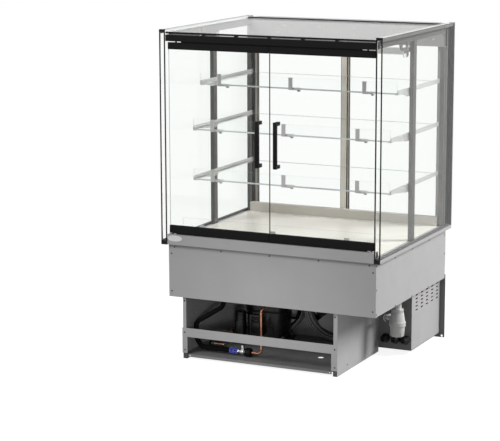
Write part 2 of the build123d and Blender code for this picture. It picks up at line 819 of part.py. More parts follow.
with BuildPart() as copper_pipes:
    tube_along([(valve_right, line_back, line_z), (-80, line_back, line_z), (-80, line_back, 240),
                (-20, 200, 240), (-20, 330, 240)], pipe_radius, 18)
    tube_along([(-20, 390, 240), (-20, 470, 240), (20, 470, 300), (20, 470, well_floor)], pipe_radius, 14)
    lengthwise(15, -20, 240, 325, 395)
    tube_along([(-333, 200, 34), (-300, 200, 34)], pipe_radius, 14)
    tube_along([(receiver_x, receiver_back + 36, 140), (receiver_x, 480, 140), (-330, 480, 175),
                (-330, 480, well_floor)], 4, 12)
    tube_along([(receiver_x - 36, receiver_back, 62), (-345, receiver_back, 62), (-385, 400, 34),
                (-385, 590, 34), (core_left, 590, 34)], 4, 12)
    tube_along([(compressor_x, compressor_back, 240), (compressor_x, compressor_back, 290),
                (-64, compressor_back, 290), (-64, 480, 290), (-64, 480, well_floor)], 4, 10)
save(copper_pipes, "copper_pipes")

# Black insulated hoses: one from the valve line and one from the compressor, both up into the cold well
hose_radius = 10.5

with BuildPart() as insulated_hose:
    tube_along([(clip_left, line_back, line_z), (-366, line_back, line_z), (-392, line_back, 82),
                (-391, line_back, 147), (-264, line_back, 227), (-251, line_back, 262),
                (-251, line_back, well_floor)], hose_radius, 36)
    tube_along([(-84, 430, 126), (-58, 430, 126), (-48, 430, 168), (-48, 430, well_floor)], 6, 14)
save(insulated_hose, "insulated_hose")

# Service valve with its clip and coupling knob, and a small elbow beside it
knob_radius = 19.5

with BuildPart() as valve_body:
    crosswise(12, line_back, line_z, clip_left, clip_left + 37)
    crosswise(7, line_back, line_z, clip_left + 37, valve_left)
    slab(valve_left, valve_right, line_back - 14, line_back + 14, line_z - 11, line_z + 14)
    slab(valve_left + 6, valve_right - 6, line_back - 8, line_back + 8, line_z + 14, line_z + 30)
    crosswise(8, 200, 34, -374, -333)
save(valve_body, "valve_body")

with BuildPart() as valve_knob:
    crosswise(knob_radius, line_back, line_z, valve_right + 0.3, valve_right + 25)
    chamfer(valve_knob.edges().filter_by(GeomType.CIRCLE), length=1.5)
    crosswise(pipe_radius + 0.05, line_back, line_z, valve_right, valve_right + 26, mode=Mode.SUBTRACT)
save(valve_knob, "valve_knob")

# Drain trap in the recess
trap_x = 424
trap_back = 400

with BuildPart() as drain_trap:
    with BuildSketch(Plane.XZ.offset(-behind(trap_back))):
        with BuildLine():
            Polyline((trap_x, 104), (trap_x + 29.5, 104), (trap_x + 32, 148), (trap_x + 36, 148),
                     (trap_x + 36, 170), (trap_x + 33.5, 170), (trap_x + 27, 209), (trap_x + 26.3, 209),
                     (trap_x + 26.3, 226), (trap_x + 17, 226), (trap_x + 17, well_floor),
                     (trap_x, well_floor), close=True)
        make_face()
    revolve(axis=Axis((trap_x, behind(trap_back), 0), (0, 0, 1)))
    tube_along([(trap_x - 25, trap_back, 180), (trap_x - 55, trap_back, 180),
                (trap_x - 55, trap_back + 60, 180)], 7, 12)
save(drain_trap, "drain_trap")

# Black hose glands through the wall of the recess
gland_reach = 42
gland_across = 20.5

with BuildPart() as hose_glands:
    for place in gland_places:
        with BuildSketch(facing_front(place, notch_front, gland_z)) as nut:
            RegularPolygon(radius=gland_across, side_count=6)
        extrude(to_extrude=nut.sketch, amount=20)
        lengthwise(16, place, gland_z, notch_front - gland_reach, notch_front - 20)
        lengthwise(gland_shank - 0.3, place, gland_z, notch_front, recess_back + 10)
save(hose_glands, "hose_glands")

# Evaporator in the cold well, with a fan plate behind it
coil_half = 380
coil_back = 620
fan_plate = 650
well_fan_z = 437

with BuildPart() as evaporator:
    slab(-coil_half, coil_half, 500, coil_back, liner_bottom + 12, 495)
    slab(-coil_half - 3, -coil_half, 500, fan_plate, liner_bottom + liner_sheet, 497)
    slab(coil_half, coil_half + 3, 500, fan_plate, liner_bottom + liner_sheet, 497)
    slab(-coil_half - 3, coil_half + 3, fan_plate, fan_plate + 2, liner_bottom + liner_sheet, 497)
    lengthwise(58, 0, well_fan_z, fan_plate, fan_plate + 2, mode=Mode.SUBTRACT)
    lengthwise(20, 0, well_fan_z, 670, 700)
    lengthwise(3, 0, well_fan_z, 652, 670)
    for side in (-1, 1):
        slab(min(side * 60, side * 68), max(side * 60, side * 68), fan_plate + 2, 684,
             well_fan_z - 5, well_fan_z + 5)
    slab(-68, 68, 682, 685, well_fan_z - 5, well_fan_z + 5)
save(evaporator, "evaporator")

with BuildPart() as evaporator_fan:
    rotor(0, 659, well_fan_z, 16, 14, 50, 22, 5, pi / 6)
    lengthwise(3.05, 0, well_fan_z, 650, 670, mode=Mode.SUBTRACT)
save(evaporator_fan, "evaporator_fan")

# Screw heads on the tub and the front frame
head_radius = 5.5
head_height = 2.4
front_row = (-448, -226, -2, 221, 445)
front_edge_heights = (460, 297)
side_places = ((27, 488), (27, 387), (27, 285), (230, 484), (434, 484), (636, 484), (836, 472),
               (836, 388), (242, 278), (434, 278), (636, 278))
frame_heights = (254, 116, 39)


def screw_head(origin, outward):
    with BuildSketch(Plane(origin=origin, z_dir=outward)) as head:
        Circle(head_radius)
    extrude(to_extrude=head.sketch, amount=head_height, taper=35)


with BuildPart() as panel_screws:
    for x in front_row:
        screw_head((x, behind(tub_front_face), 489), (0, -1, 0))
    for x in (-462, 462):
        for z in front_edge_heights:
            screw_head((x, behind(tub_front_face), z), (0, -1, 0))
    for z in frame_heights:
        front = base_front if z > frame_top else base_front - base_sheet
        for x in (-410, 289):
            screw_head((x, behind(front), z), (0, -1, 0))
    for side in (-1, 1):
        for back, z in side_places:
            screw_head((side * tub_half, behind(back), z), (side, 0, 0))
    screw_head((base_right, behind(141), 28), (1, 0, 0))
save(panel_screws, "panel_screws")

print("pieces written:", len(os.listdir("parts")))
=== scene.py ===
# Refrigerated merchandiser: looks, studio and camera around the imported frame.
import json
import math

import bmesh
import bpy
from mathutils import Matrix, Vector

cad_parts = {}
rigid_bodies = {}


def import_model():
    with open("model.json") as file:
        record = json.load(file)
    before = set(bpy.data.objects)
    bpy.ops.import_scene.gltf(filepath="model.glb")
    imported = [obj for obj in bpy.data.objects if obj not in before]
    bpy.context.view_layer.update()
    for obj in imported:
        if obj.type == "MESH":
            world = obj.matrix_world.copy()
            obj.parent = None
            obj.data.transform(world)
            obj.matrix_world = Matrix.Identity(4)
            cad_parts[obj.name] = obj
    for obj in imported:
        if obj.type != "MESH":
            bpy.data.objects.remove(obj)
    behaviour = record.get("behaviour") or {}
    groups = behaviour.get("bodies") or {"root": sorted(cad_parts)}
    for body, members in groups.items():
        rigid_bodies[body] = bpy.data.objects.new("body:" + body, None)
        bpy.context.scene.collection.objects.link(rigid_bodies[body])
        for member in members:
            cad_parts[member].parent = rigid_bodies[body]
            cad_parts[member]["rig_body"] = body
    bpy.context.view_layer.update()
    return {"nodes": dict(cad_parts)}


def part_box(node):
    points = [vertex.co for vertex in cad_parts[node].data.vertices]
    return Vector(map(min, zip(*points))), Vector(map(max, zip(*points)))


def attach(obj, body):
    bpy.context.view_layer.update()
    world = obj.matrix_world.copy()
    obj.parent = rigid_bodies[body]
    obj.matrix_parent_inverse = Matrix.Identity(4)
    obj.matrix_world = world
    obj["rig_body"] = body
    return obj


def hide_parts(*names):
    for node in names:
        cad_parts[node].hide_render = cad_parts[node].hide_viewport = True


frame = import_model()
nodes = frame["nodes"]
bodyOf = {name: node["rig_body"] for name, node in nodes.items()}
glassFront = -0.4155                # world Y of the front plane of the side glass
mm = 0.001
print("frame loaded:", len(nodes), "nodes")


def behind(distance):               # millimetres behind the glass front, in metres
    return glassFront + distance * mm


def at(x, back, z):                 # a point given in millimetres
    return Vector((x * mm, behind(back), z * mm))


# Colours and material nodes

def colour(text):                   # sRGB hex to linear
    parts = [int(text[i:i + 2], 16) / 255 for i in (1, 3, 5)]
    return tuple(c / 12.92 if c <= 0.04045 else ((c + 0.055) / 1.055) ** 2.4 for c in parts) + (1.0,)


def add(tree, kind, links=None, **settings):
    node = tree.nodes.new(kind)
    for key, value in settings.items():
        setattr(node, key, value)
    for key, value in (links or {}).items():
        socket = node.inputs[key]
        if isinstance(value, bpy.types.NodeSocket):
            tree.links.new(value, socket)
        else:
            socket.default_value = value
    return node


def newMaterial(name, **sockets):
    material = bpy.data.materials.new(name)
    material.use_nodes = True
    tree = material.node_tree
    tree.nodes.clear()
    shader = add(tree, "ShaderNodeBsdfPrincipled", sockets)
    add(tree, "ShaderNodeOutputMaterial", {"Surface": shader.outputs[0]})
    place = add(tree, "ShaderNodeTexCoord").outputs["Object"]
    return material, tree, shader, place


def outputOf(tree):
    return [node for node in tree.nodes if node.type == "OUTPUT_MATERIAL"][0]


def noise(tree, place, size, detail=2.0, stretch=(1, 1, 1)):
    # size is the real size of one blotch in millimetres
    mapped = add(tree, "ShaderNodeMapping", {"Vector": place, "Scale": stretch})
    return add(tree, "ShaderNodeTexNoise", {"Vector": mapped.outputs[0], "Scale": 1000 / size,
                                            "Detail": detail}).outputs[0]


def spread(tree, value, low, high, start=0.3, end=0.7):
    return add(tree, "ShaderNodeMapRange", {"Value": value, "From Min": start, "From Max": end,
                                            "To Min": low, "To Max": high}).outputs[0]


def mixColours(tree, factor, first, second):
    return add(tree, "ShaderNodeMix", {0: factor, 6: first, 7: second}, data_type="RGBA").outputs[2]


def bump(tree, shader, height, distance, strength=1.0):
    # distance is the real relief in millimetres
    made = add(tree, "ShaderNodeBump", {"Height": height, "Distance": distance * mm, "Strength": strength})
    tree.links.new(made.outputs[0], shader.inputs["Normal"])


def coated(name, tone, shade, roughness, grain=1.2, relief=0.02, cloud=160, **sockets):
    # A coated or moulded surface: two close tones, uneven gloss and a fine skin
    material, tree, shader, place = newMaterial(name, **sockets)
    tint = mixColours(tree, spread(tree, noise(tree, place, cloud, 4.0), 0, 1), colour(tone), colour(shade))
    tree.links.new(tint, shader.inputs["Base Color"])
    gloss = spread(tree, noise(tree, place, 45, 3.0), roughness - 0.05, roughness + 0.07)
    tree.links.new(gloss, shader.inputs["Roughness"])
    bump(tree, shader, noise(tree, place, grain, 1.0), relief)
    return material


def drawn(name, tone, shade, roughness, along, grain=0.8, relief=0.01, **sockets):
    # Metal with a fine grain drawn along one axis
    sockets.setdefault("Metallic", 1.0)
    material, tree, shader, place = newMaterial(name, **sockets)
    stretch = [1.0, 1.0, 1.0]
    stretch[along] = 0.02
    line = noise(tree, place, grain, 3.0, tuple(stretch))
    summed = add(tree, "ShaderNodeMath", {0: line, 1: noise(tree, place, 90, 3.0)}, operation="ADD")
    half = add(tree, "ShaderNodeMath", {0: summed.outputs[0], 1: 0.5}, operation="MULTIPLY")
    tint = mixColours(tree, spread(tree, half.outputs[0], 0, 1), colour(tone), colour(shade))
    tree.links.new(tint, shader.inputs["Base Color"])
    tree.links.new(spread(tree, line, roughness - 0.06, roughness + 0.08), shader.inputs["Roughness"])
    bump(tree, shader, line, relief)
    return material


def clear(name, tint, ior, roughness=0.0):
    # Clear sheet: it refracts and reflects for the eye, and lets lamp light straight through
    material, tree, shader, place = newMaterial(name, IOR=ior, Roughness=roughness)
    shader.inputs["Base Color"].default_value = colour(tint)
    shader.inputs["Transmission Weight"].default_value = 1.0
    bump(tree, shader, noise(tree, place, 300, 3.0), 0.02, 0.3)
    path = add(tree, "ShaderNodeLightPath")
    through = add(tree, "ShaderNodeBsdfTransparent", {"Color": colour("#ffffff")})
    either = add(tree, "ShaderNodeMath", {0: path.outputs["Is Shadow Ray"],
                                          1: path.outputs["Is Diffuse Ray"]}, operation="MAXIMUM")
    mixed = add(tree, "ShaderNodeMixShader", {0: either.outputs[0], 1: shader.outputs[0],
                                              2: through.outputs[0]})
    tree.links.new(mixed.outputs[0], outputOf(tree).inputs["Surface"])
    return material


# Float glass: clear and neutral, crisp reflections
floatGlass = clear("floatGlass", "#fdfefd", 1.10)
# Ground glass edge: grey with a trace of green and satin, because the cut is not polished
groundEdge = coated("groundGlassEdge", "#a7acab", "#999e9d", 0.35, IOR=1.5)
# Top edges of the panes, pale because they pass the light from above
paleEdge = coated("paleGlassEdge", "#e4e8e7", "#dbe0de", 0.3, IOR=1.45)
# Black enamel fired onto the edges of the panes
blackEnamel = coated("blackEnamelEdge", "#0d0d0d", "#131313", 0.35, IOR=1.25)
# Grey enamel band along the top of the outer pane
bandGrey = coated("greyEnamelBand", "#6c6c6a", "#666664", 0.5, IOR=1.2)
# Seal along the top between two panes: white silicone, soft gloss
whiteSeal = coated("whiteSilicone", "#f2f3f1", "#e9eae8", 0.4, IOR=1.4)
# Spacer between two panes: dark warm-edge bar, dull
darkSpacer = coated("darkSpacer", "#5e5e5e", "#565656", 0.6, IOR=1.4)
# Roof glass: as clear as the sides, seen at a flat angle
roofGlass = clear("roofFloatGlass", "#fdfefd", 1.04)
# Acrylic strip: clearer than glass, with sawn edges
acrylic = clear("acrylicStrip", "#fdfefe", 1.14)
acrylicEdge = coated("sawnAcrylicEdge", "#a3a8a8", "#949a9a", 0.3, IOR=1.49)
# Powder-coated steel: satin with a fine orange peel
greyPowder = coated("greyPowderCoat", "#aeadad", "#a9a8a8", 0.5, 1.4, 0.03, IOR=1.4)
# Anodised aluminium profiles: mid grey and satin; the rear corners are a paler grade
anodisedUp = coated("anodisedPost", "#666664", "#636361", 0.5, 1.0, 0.01, IOR=1.2)
anodisedAlong = coated("anodisedRail", "#666664", "#636361", 0.5, 1.0, 0.01, IOR=1.2)
cornerGrey = coated("anodisedCorner", "#8c8c8a", "#868684", 0.5, 1.0, 0.01, IOR=1.2)
anodisedAcross = drawn("anodisedHeader", "#a9a9a8", "#a2a2a1", 0.45, 0, Metallic=0.0, IOR=1.4)
# Panels inside the base: darker greys than the coated ones, dull; the darkness is painted shade of the bay and recess
# under the tub
basePanPaintedShade = coated("basePanPaintedShade", "#858585", "#7b7b7b", 0.42, 1.6, 0.02, IOR=1.4)
# Rear plate and front-facing recess walls: darker still, painted shade
paintedShadePanel = coated("paintedShadePanel", "#7c7c7c", "#737373", 0.5, 1.6, 0.02, IOR=1.4)
# Warm pale profile of the sliding doors: satin, slightly cream
creamProfile = drawn("creamDoorProfile", "#e0dbd0", "#d5d0c5", 0.45, 2, Metallic=0.0, IOR=1.45)
# Warm grey outer stiles and grips of the rear doors: a darker copy of the cream profile
greyProfile = drawn("greyDoorProfile", "#9c988f", "#928e86", 0.45, 2, Metallic=0.0, IOR=1.45)
beigeSill = drawn("beigeSill", "#c6c2ba", "#bcb8b0", 0.45, 0, Metallic=0.0, IOR=1.45)
# Black powder-coated profile: dark, satin
blackPowder = coated("blackPowderCoat", "#0f0f0f", "#0b0b0b", 0.46, 1.2, 0.02, IOR=1.2)
# Moulded ABS: near black, slightly rougher
blackAbs = coated("blackAbs", "#111111", "#0c0c0c", 0.5, 0.9, 0.02, IOR=1.25)
# Rubber gasket: black and dull
gasket = coated("blackGasket", "#1c1c1c", "#141414", 0.7, 1.4, 0.04, IOR=1.25)
# White enamel deck: warm white, smooth
whiteEnamel = coated("whiteEnamel", "#f4f1e8", "#eeeae0", 0.34, 1.8, 0.02, IOR=1.45)
# Galvanised sheet: mid grey, soft spangle
zinc = coated("galvanisedSheet", "#8c8e8f", "#7c7e7f", 0.42, 3.0, 0.01, 14, Metallic=0.15)
# Stainless arms and liner: fine brush lines
stainless = drawn("brushedStainless", "#c8c8c6", "#bdbdbb", 0.38, 1, Metallic=0.5)
# Grey moulded clips
greyAbs = coated("greyAbs", "#cbcbc9", "#c1c1bf", 0.42, 0.9, 0.02, IOR=1.4)
# Frosted polycarbonate lamp cover: pale and diffusing
frosted = coated("frostedCover", "#efefec", "#e6e6e2", 0.5, 0.8, 0.02, IOR=1.4)
# Lamp chips: small yellow-white squares under the cover
ledChip = coated("ledChip", "#f4e9b0", "#ecdc98", 0.4, 0.5, 0.01, IOR=1.4)
# Copper pipe: warm, lightly oxidised
copper = drawn("copperPipe", "#c08a70", "#aa735a", 0.34, 2)
# Closed-cell rubber sleeve: black, dull, slightly crusty
rubberFoam = coated("rubberSleeve", "#121212", "#0c0c0c", 0.8, 1.6, 0.08, IOR=1.2)
# Black enamelled steel shells
blackShell = coated("blackEnamelShell", "#141414", "#0e0e0e", 0.26, 2.5, 0.03, IOR=1.45)
# Matt black cover on the compressor
blackCover = coated("blackMouldedCover", "#1d1d1d", "#171717", 0.45, 1.0, 0.03, IOR=1.35)
# Bare grey label plate; the same grey as an upright strip on the receiver's front is a painted highlight
labelAndPaintedHighlight = coated("bareLabelAndPaintedHighlight", "#3c3c3c", "#343434", 0.4, 1.0, 0.01, IOR=1.4)
# White polypropylene trap: soft gloss
whitePp = coated("whitePolypropylene", "#cfcfcd", "#c3c3c1", 0.36, 1.5, 0.02, IOR=1.45)
# Blue nylon clip
blueNylon = coated("blueNylon", "#7a84f2", "#4a55cc", 0.4, 1.0, 0.02, IOR=1.4)
# Nickel-plated brass: pale, bright, fine turning marks
nickel = drawn("nickelPlate", "#c9c9c6", "#b6b6b3", 0.25, 0)
# Aluminium fins: thin, pale, brushed upright
finMetal = drawn("aluminiumFins", "#a3a5a6", "#929495", 0.4, 2)
# Fan blades: grey coated steel; the same lighter grey on the shroud's bead rings is a painted highlight along their
# ridges
fanGreyAndBeadHighlight = coated("greyFanCoatAndBeadHighlight", "#9a9a9a", "#8f8f8f", 0.45, 1.2, 0.02, IOR=1.4)
# Rubber feet
footRubber = coated("footRubber", "#5c5c5c", "#505050", 0.7, 1.5, 0.05, IOR=1.3)
# Rigid foam: pale yellow, open cells
foamCore = coated("rigidFoam", "#e2cf96", "#d3bf84", 0.8, 1.0, 0.2, 20, IOR=1.3)
# Zinc-plated screws: grey; the dark cross in their recesses is painted shade
screwZinc = drawn("zincScrew", "#6a6a6a", "#5c5c5c", 0.4, 0, Metallic=0.7)
# Dark cross in the screw heads: painted shade of the recess
paintedRecessShade = coated("screwRecessPaintedShade", "#1c1c1c", "#151515", 0.6, IOR=1.3)
coatedScrew = coated("coatedScrew", "#8e8e8e", "#848484", 0.45, IOR=1.4)
brightScrew = coated("brightScrew", "#f0f0ee", "#e6e6e4", 0.3, IOR=1.5)
# Bare badge plate: fine brushed aluminium
badgePlate = drawn("badgeAluminium", "#dededc", "#d2d2d0", 0.4, 0, Metallic=0.2)
# Dark display window: glossy smoked plastic
smoked = coated("smokedWindow", "#120c0c", "#0d0808", 0.12, 2.0, 0.0, IOR=1.45)
# Pale print of the switch marks
whitePrint = coated("whitePrint", "#e8e8e6", "#dededc", 0.5, IOR=1.4)
print("materials made")

finishes = {
    "edge_trims": blackAbs, "header_bar": blackPowder, "front_sill": greyPowder, "sill_badge": badgePlate,
    "rim_rails": greyPowder, "shelf_posts": anodisedUp, "top_rails": anodisedAlong,
    "rear_header": anodisedAcross, "rear_sill": beigeSill, "corner_profiles": cornerGrey,
    "lamp_housing": greyAbs, "lamp_diffuser": frosted, "shelf_arms": stainless, "riser_clips": greyAbs,
    "left_door_rails": blackPowder, "right_door_rails": blackPowder, "left_door_handle": blackPowder,
    "right_door_handle": blackPowder, "rear_door_left_frame": creamProfile,
    "rear_door_right_frame": creamProfile, "tub_front": greyPowder, "tub_sides": greyPowder,
    "tub_floor": zinc, "tub_insulation": foamCore, "tub_liner": stainless, "deck_plate": whiteEnamel,
    "base_floor": basePanPaintedShade, "base_sides": greyPowder, "base_front_frame": greyPowder,
    "notch_panels": greyPowder, "base_rear_plate": paintedShadePanel, "base_feet": footRubber,
    "compressor": blackShell, "receiver": blackShell, "condenser": finMetal, "fan_shroud": zinc,
    "condenser_fan_left": fanGreyAndBeadHighlight, "condenser_fan_right": fanGreyAndBeadHighlight, "copper_pipes": copper,
    "insulated_hose": rubberFoam, "valve_body": nickel, "valve_knob": blackAbs, "drain_trap": whitePp,
    "hose_glands": blackAbs, "evaporator": finMetal, "evaporator_fan": blackAbs,
    "control_panel": blackAbs, "power_switch": blackAbs, "panel_screws": screwZinc,
}


# Mesh tools

def setSlot(bm, before, slot):      # every face made since `before` takes the slot
    for face in bm.faces:
        if face not in before:
            face.material_index = slot


def addBox(bm, x, y, z, slot=0, bevel=0.0, segments=2, turn=None):
    # x, y and z are (low, high) in millimetres; y is measured behind the glass front
    before = set(bm.faces)
    low, high = at(x[0], y[0], z[0]), at(x[1], y[1], z[1])
    middle, size = (low + high) / 2, high - low
    made = bmesh.ops.create_cube(bm, size=1.0)["verts"]
    for vert in made:
        local = Vector([vert.co[i] * size[i] for i in range(3)])
        vert.co = middle + (turn @ local if turn else local)
    if bevel:
        edges = list({edge for vert in made for edge in vert.link_edges})
        bmesh.ops.bevel(bm, geom=edges, offset=bevel * mm, segments=segments, profile=0.5,
                        affect="EDGES", clamp_overlap=True)
    setSlot(bm, before, slot)


axisTurns = {"x": Matrix(((0, 0, 1), (1, 0, 0), (0, 1, 0))), "y": Matrix(((1, 0, 0), (0, 0, 1), (0, -1, 0))),
             "z": Matrix.Identity(3)}


def lathe(bm, profile, centre, axis="z", steps=32, slot=0, phase=0.0):
    # profile is (radius, place along the axis) in millimetres, from one end to the other
    before = set(bm.faces)
    turn = axisTurns[axis]
    origin = at(*centre)
    rings = []
    for radius, along in profile:
        spots = steps if radius > 0 else 1
        ring = []
        for i in range(spots):
            angle = phase + 2 * math.pi * i / steps
            local = Vector((radius * math.cos(angle), radius * math.sin(angle), along)) * mm
            ring.append(bm.verts.new(origin + turn @ local))
        rings.append(ring)
    for lower, upper in zip(rings, rings[1:]):
        for i in range(steps):
            j = (i + 1) % steps
            corners = [lower[i % len(lower)], lower[j % len(lower)], upper[j % len(upper)],
                       upper[i % len(upper)]]
            unique = list(dict.fromkeys(corners))
            if len(unique) > 2:
                bm.faces.new(unique)
    setSlot(bm, before, slot)


def addTube(bm, path, radius, slot=0, sides=12, closed=False):
    # A round wire or pipe along a list of points in millimetres
    before = set(bm.faces)
    spots = [at(*point) for point in path]
    count = len(spots)
    rings = []
    guide = Vector((0.13, 0.31, 0.94))
    for i, spot in enumerate(spots):
        ahead = spots[(i + 1) % count] if closed or i < count - 1 else spot
        back = spots[i - 1] if closed or i > 0 else spot
        along = (ahead - back).normalized()
        across = along.cross(guide).normalized()
        guide = across.cross(along).normalized()
        ring = [bm.verts.new(spot + radius * mm * (math.cos(a) * across + math.sin(a) * guide))
                for a in [2 * math.pi * k / sides for k in range(sides)]]
        rings.append(ring)
    pairs = list(zip(rings, rings[1:])) + ([(rings[-1], rings[0])] if closed else [])
    for lower, upper in pairs:
        for k in range(sides):
            m = (k + 1) % sides
            bm.faces.new((lower[k], lower[m], upper[m], upper[k]))
    if not closed:
        bm.faces.new(rings[0])
        bm.faces.new(rings[-1])
    setSlot(bm, before, slot)


def arc(centre, radius, start, end, steps, plane="xz", fixed=0.0):
    # Points of an arc in one plane, in millimetres; angles in degrees
    points = []
    for i in range(steps + 1):
        angle = math.radians(start + (end - start) * i / steps)
        u = centre[0] + radius * math.cos(angle)
        v = centre[1] + radius * math.sin(angle)
        points.append({"xz": (u, fixed, v), "yz": (fixed, u, v), "xy": (u, v, fixed)}[plane])
    return points


def toPiece(name, mesh, materials, replaced, body=None):
    indices = [polygon.material_index for polygon in mesh.polygons]
    mesh.materials.clear()
    for material in materials:
        mesh.materials.append(material)
    mesh.polygons.foreach_set("material_index", indices)
    piece = bpy.data.objects.new(name, mesh)
    bpy.context.scene.collection.objects.link(piece)
    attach(piece, body or bodyOf[replaced[0]])
    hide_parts(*replaced)
    return piece


def finishMesh(name, bm, materials, replaced, smooth=32):
    bmesh.ops.recalc_face_normals(bm, faces=bm.faces)
    mesh = bpy.data.meshes.new(name)
    bm.to_mesh(mesh)
    bm.free()
    if smooth:
        mesh.shade_smooth()
        mesh.set_sharp_from_angle(angle=math.radians(smooth))
    return toPiece(name, mesh, materials, replaced)


def bake(holder):                   # the evaluated mesh, as a plain mesh
    depsgraph = bpy.context.evaluated_depsgraph_get()
    depsgraph.update()
    return bpy.data.meshes.new_from_object(holder.evaluated_get(depsgraph), depsgraph=depsgraph)


def cadCopy(name):                  # a merged copy of a CAD node's mesh
    bm = bmesh.new()
    bm.from_mesh(nodes[name].data)
    bmesh.ops.remove_doubles(bm, verts=bm.verts, dist=1e-6)
    bmesh.ops.dissolve_limit(bm, angle_limit=math.radians(0.5), verts=bm.verts, edges=bm.edges)
    setSlot(bm, set(), 0)
    return bm


def softened(bm, width, angle=32, segments=2):
    # Rounds the sharp edges of a mesh and keeps its flat faces flat
    bmesh.ops.recalc_face_normals(bm, faces=bm.faces)
    mesh = bpy.data.meshes.new("raw")
    bm.to_mesh(mesh)
    bm.free()
    mesh.shade_smooth()
    mesh.set_sharp_from_angle(angle=math.radians(angle))
    holder = bpy.data.objects.new("raw", mesh)
    bpy.context.scene.collection.objects.link(holder)
    soften = holder.modifiers.new("soften", "BEVEL")
    soften.width = width * mm
    soften.segments = segments
    soften.limit_method = "ANGLE"
    soften.angle_limit = math.radians(angle)
    soften.use_clamp_overlap = True
    soften.harden_normals = True
    made = bake(holder)
    bpy.data.objects.remove(holder)
    bpy.data.meshes.remove(mesh)
    return made


def refine(name, width, extras=None, materials=()):
    bm = cadCopy(name)
    if extras:
        extras(bm)
    return toPiece(name + "_finished", softened(bm, width), [finishes[name], *materials], (name,))


# Geometry Nodes trees for what repeats

def newTree(name, sockets):
    tree = bpy.data.node_groups.new(name, "GeometryNodeTree")
    tree.interface.new_socket("Geometry", in_out="INPUT", socket_type="NodeSocketGeometry")
    for label, kind in sockets:
        tree.interface.new_socket(label, in_out="INPUT", socket_type="NodeSocket" + kind)
    tree.interface.new_socket("Geometry", in_out="OUTPUT", socket_type="NodeSocketGeometry")
    return tree, add(tree, "NodeGroupInput").outputs


def runTree(tree, mesh, values):
    # Runs a tree on a mesh and returns the plain mesh it makes
    holder = bpy.data.objects.new(tree.name, mesh)
    bpy.context.scene.collection.objects.link(holder)
    modifier = holder.modifiers.new(tree.name, "NODES")
    modifier.node_group = tree
    for item in tree.interface.items_tree:
        if item.in_out == "INPUT" and item.name in values:
            modifier[item.identifier] = values[item.name]
    made = bake(holder)
    bpy.data.objects.remove(holder)
    return made


def joined(bm, mesh, slots):
    # Adds a made mesh to a bmesh; slots maps its materials to slots of the piece
    before = set(bm.faces)
    bm.from_mesh(mesh)
    for face in bm.faces:
        if face not in before:
            material = mesh.materials[face.material_index]
            face.material_index = slots[material.name] if material else 0
    bpy.data.meshes.remove(mesh)


# A row of equal boxes: fins, ribs and lamp chips
rowTree, row = newTree("rowOfBoxes", [("Count", "Int"), ("Start", "Vector"), ("Step", "Vector"),
                                      ("Size", "Vector"), ("Turn", "Vector"), ("Finish", "Material")])
rowLine = add(rowTree, "GeometryNodeMeshLine", {"Count": row["Count"], "Start Location": row["Start"],
                                                "Offset": row["Step"]}, mode="OFFSET")
rowCube = add(rowTree, "GeometryNodeMeshCube", {"Size": row["Size"]})
rowTurn = add(rowTree, "FunctionNodeEulerToRotation", {0: row["Turn"]})
rowCopies = add(rowTree, "GeometryNodeInstanceOnPoints", {"Points": rowLine.outputs[0],
                                                          "Instance": rowCube.outputs["Mesh"],
                                                          "Rotation": rowTurn.outputs[0]})
rowReal = add(rowTree, "GeometryNodeRealizeInstances", {0: rowCopies.outputs[0]})
rowDone = add(rowTree, "GeometryNodeSetMaterial", {"Geometry": rowReal.outputs[0], "Material": row["Finish"]})
add(rowTree, "NodeGroupOutput", {0: rowDone.outputs[0]})


def addRow(bm, count, start, step, size, material, slot, turn=(0, 0, 0)):
    # start is the centre of the first box; start, step and size in millimetres
    mesh = bpy.data.meshes.new("row")
    made = runTree(rowTree, mesh, {"Count": count, "Start": tuple(at(*start)), "Turn": turn,
                                   "Step": tuple(v * mm for v in step), "Finish": material,
                                   "Size": tuple(v * mm for v in size)})
    joined(bm, made, {material.name: slot})


# Screw heads with a cross recess, one on each point, turned to its outward vector; the recess is a flat dark cross on
# top of the head, painted shade
screwTree, screw = newTree("screwHeads", [("Radius", "Float"), ("Height", "Float"), ("Cross", "Vector"),
                                          ("Cross turned", "Vector"), ("Finish", "Material"),
                                          ("Recess", "Material")])
topRadius = add(screwTree, "ShaderNodeMath", {0: screw["Radius"], 1: 0.66}, operation="MULTIPLY")
head = add(screwTree, "GeometryNodeMeshCone", {"Vertices": 14, "Radius Top": topRadius.outputs[0],
                                               "Radius Bottom": screw["Radius"], "Depth": screw["Height"]})
headDone = add(screwTree, "GeometryNodeSetMaterial", {"Geometry": head.outputs["Mesh"],
                                                      "Material": screw["Finish"]})
lift = add(screwTree, "ShaderNodeCombineXYZ", {"Z": screw["Height"]})
barOne = add(screwTree, "GeometryNodeMeshCube", {"Size": screw["Cross"]})
barTwo = add(screwTree, "GeometryNodeMeshCube", {"Size": screw["Cross turned"]})
bars = add(screwTree, "GeometryNodeJoinGeometry")
screwTree.links.new(barOne.outputs["Mesh"], bars.inputs[0])
screwTree.links.new(barTwo.outputs["Mesh"], bars.inputs[0])
raised = add(screwTree, "GeometryNodeTransform", {"Geometry": bars.outputs[0],
                                                  "Translation": lift.outputs[0]})
barsDone = add(screwTree, "GeometryNodeSetMaterial", {"Geometry": raised.outputs[0],
                                                      "Material": screw["Recess"]})
whole = add(screwTree, "GeometryNodeJoinGeometry")
screwTree.links.new(headDone.outputs[0], whole.inputs[0])
screwTree.links.new(barsDone.outputs[0], whole.inputs[0])
outward = add(screwTree, "GeometryNodeInputNamedAttribute", {"Name": "outward"}, data_type="FLOAT_VECTOR")
facing = add(screwTree, "FunctionNodeAlignRotationToVector", {"Vector": outward.outputs[0]}, axis="Z")
placed = add(screwTree, "GeometryNodeInstanceOnPoints", {"Points": screw["Geometry"],
                                                         "Instance": whole.outputs[0],
                                                         "Rotation": facing.outputs[0]})
screwReal = add(screwTree, "GeometryNodeRealizeInstances", {0: placed.outputs[0]})
add(screwTree, "NodeGroupOutput", {0: screwReal.outputs[0]})


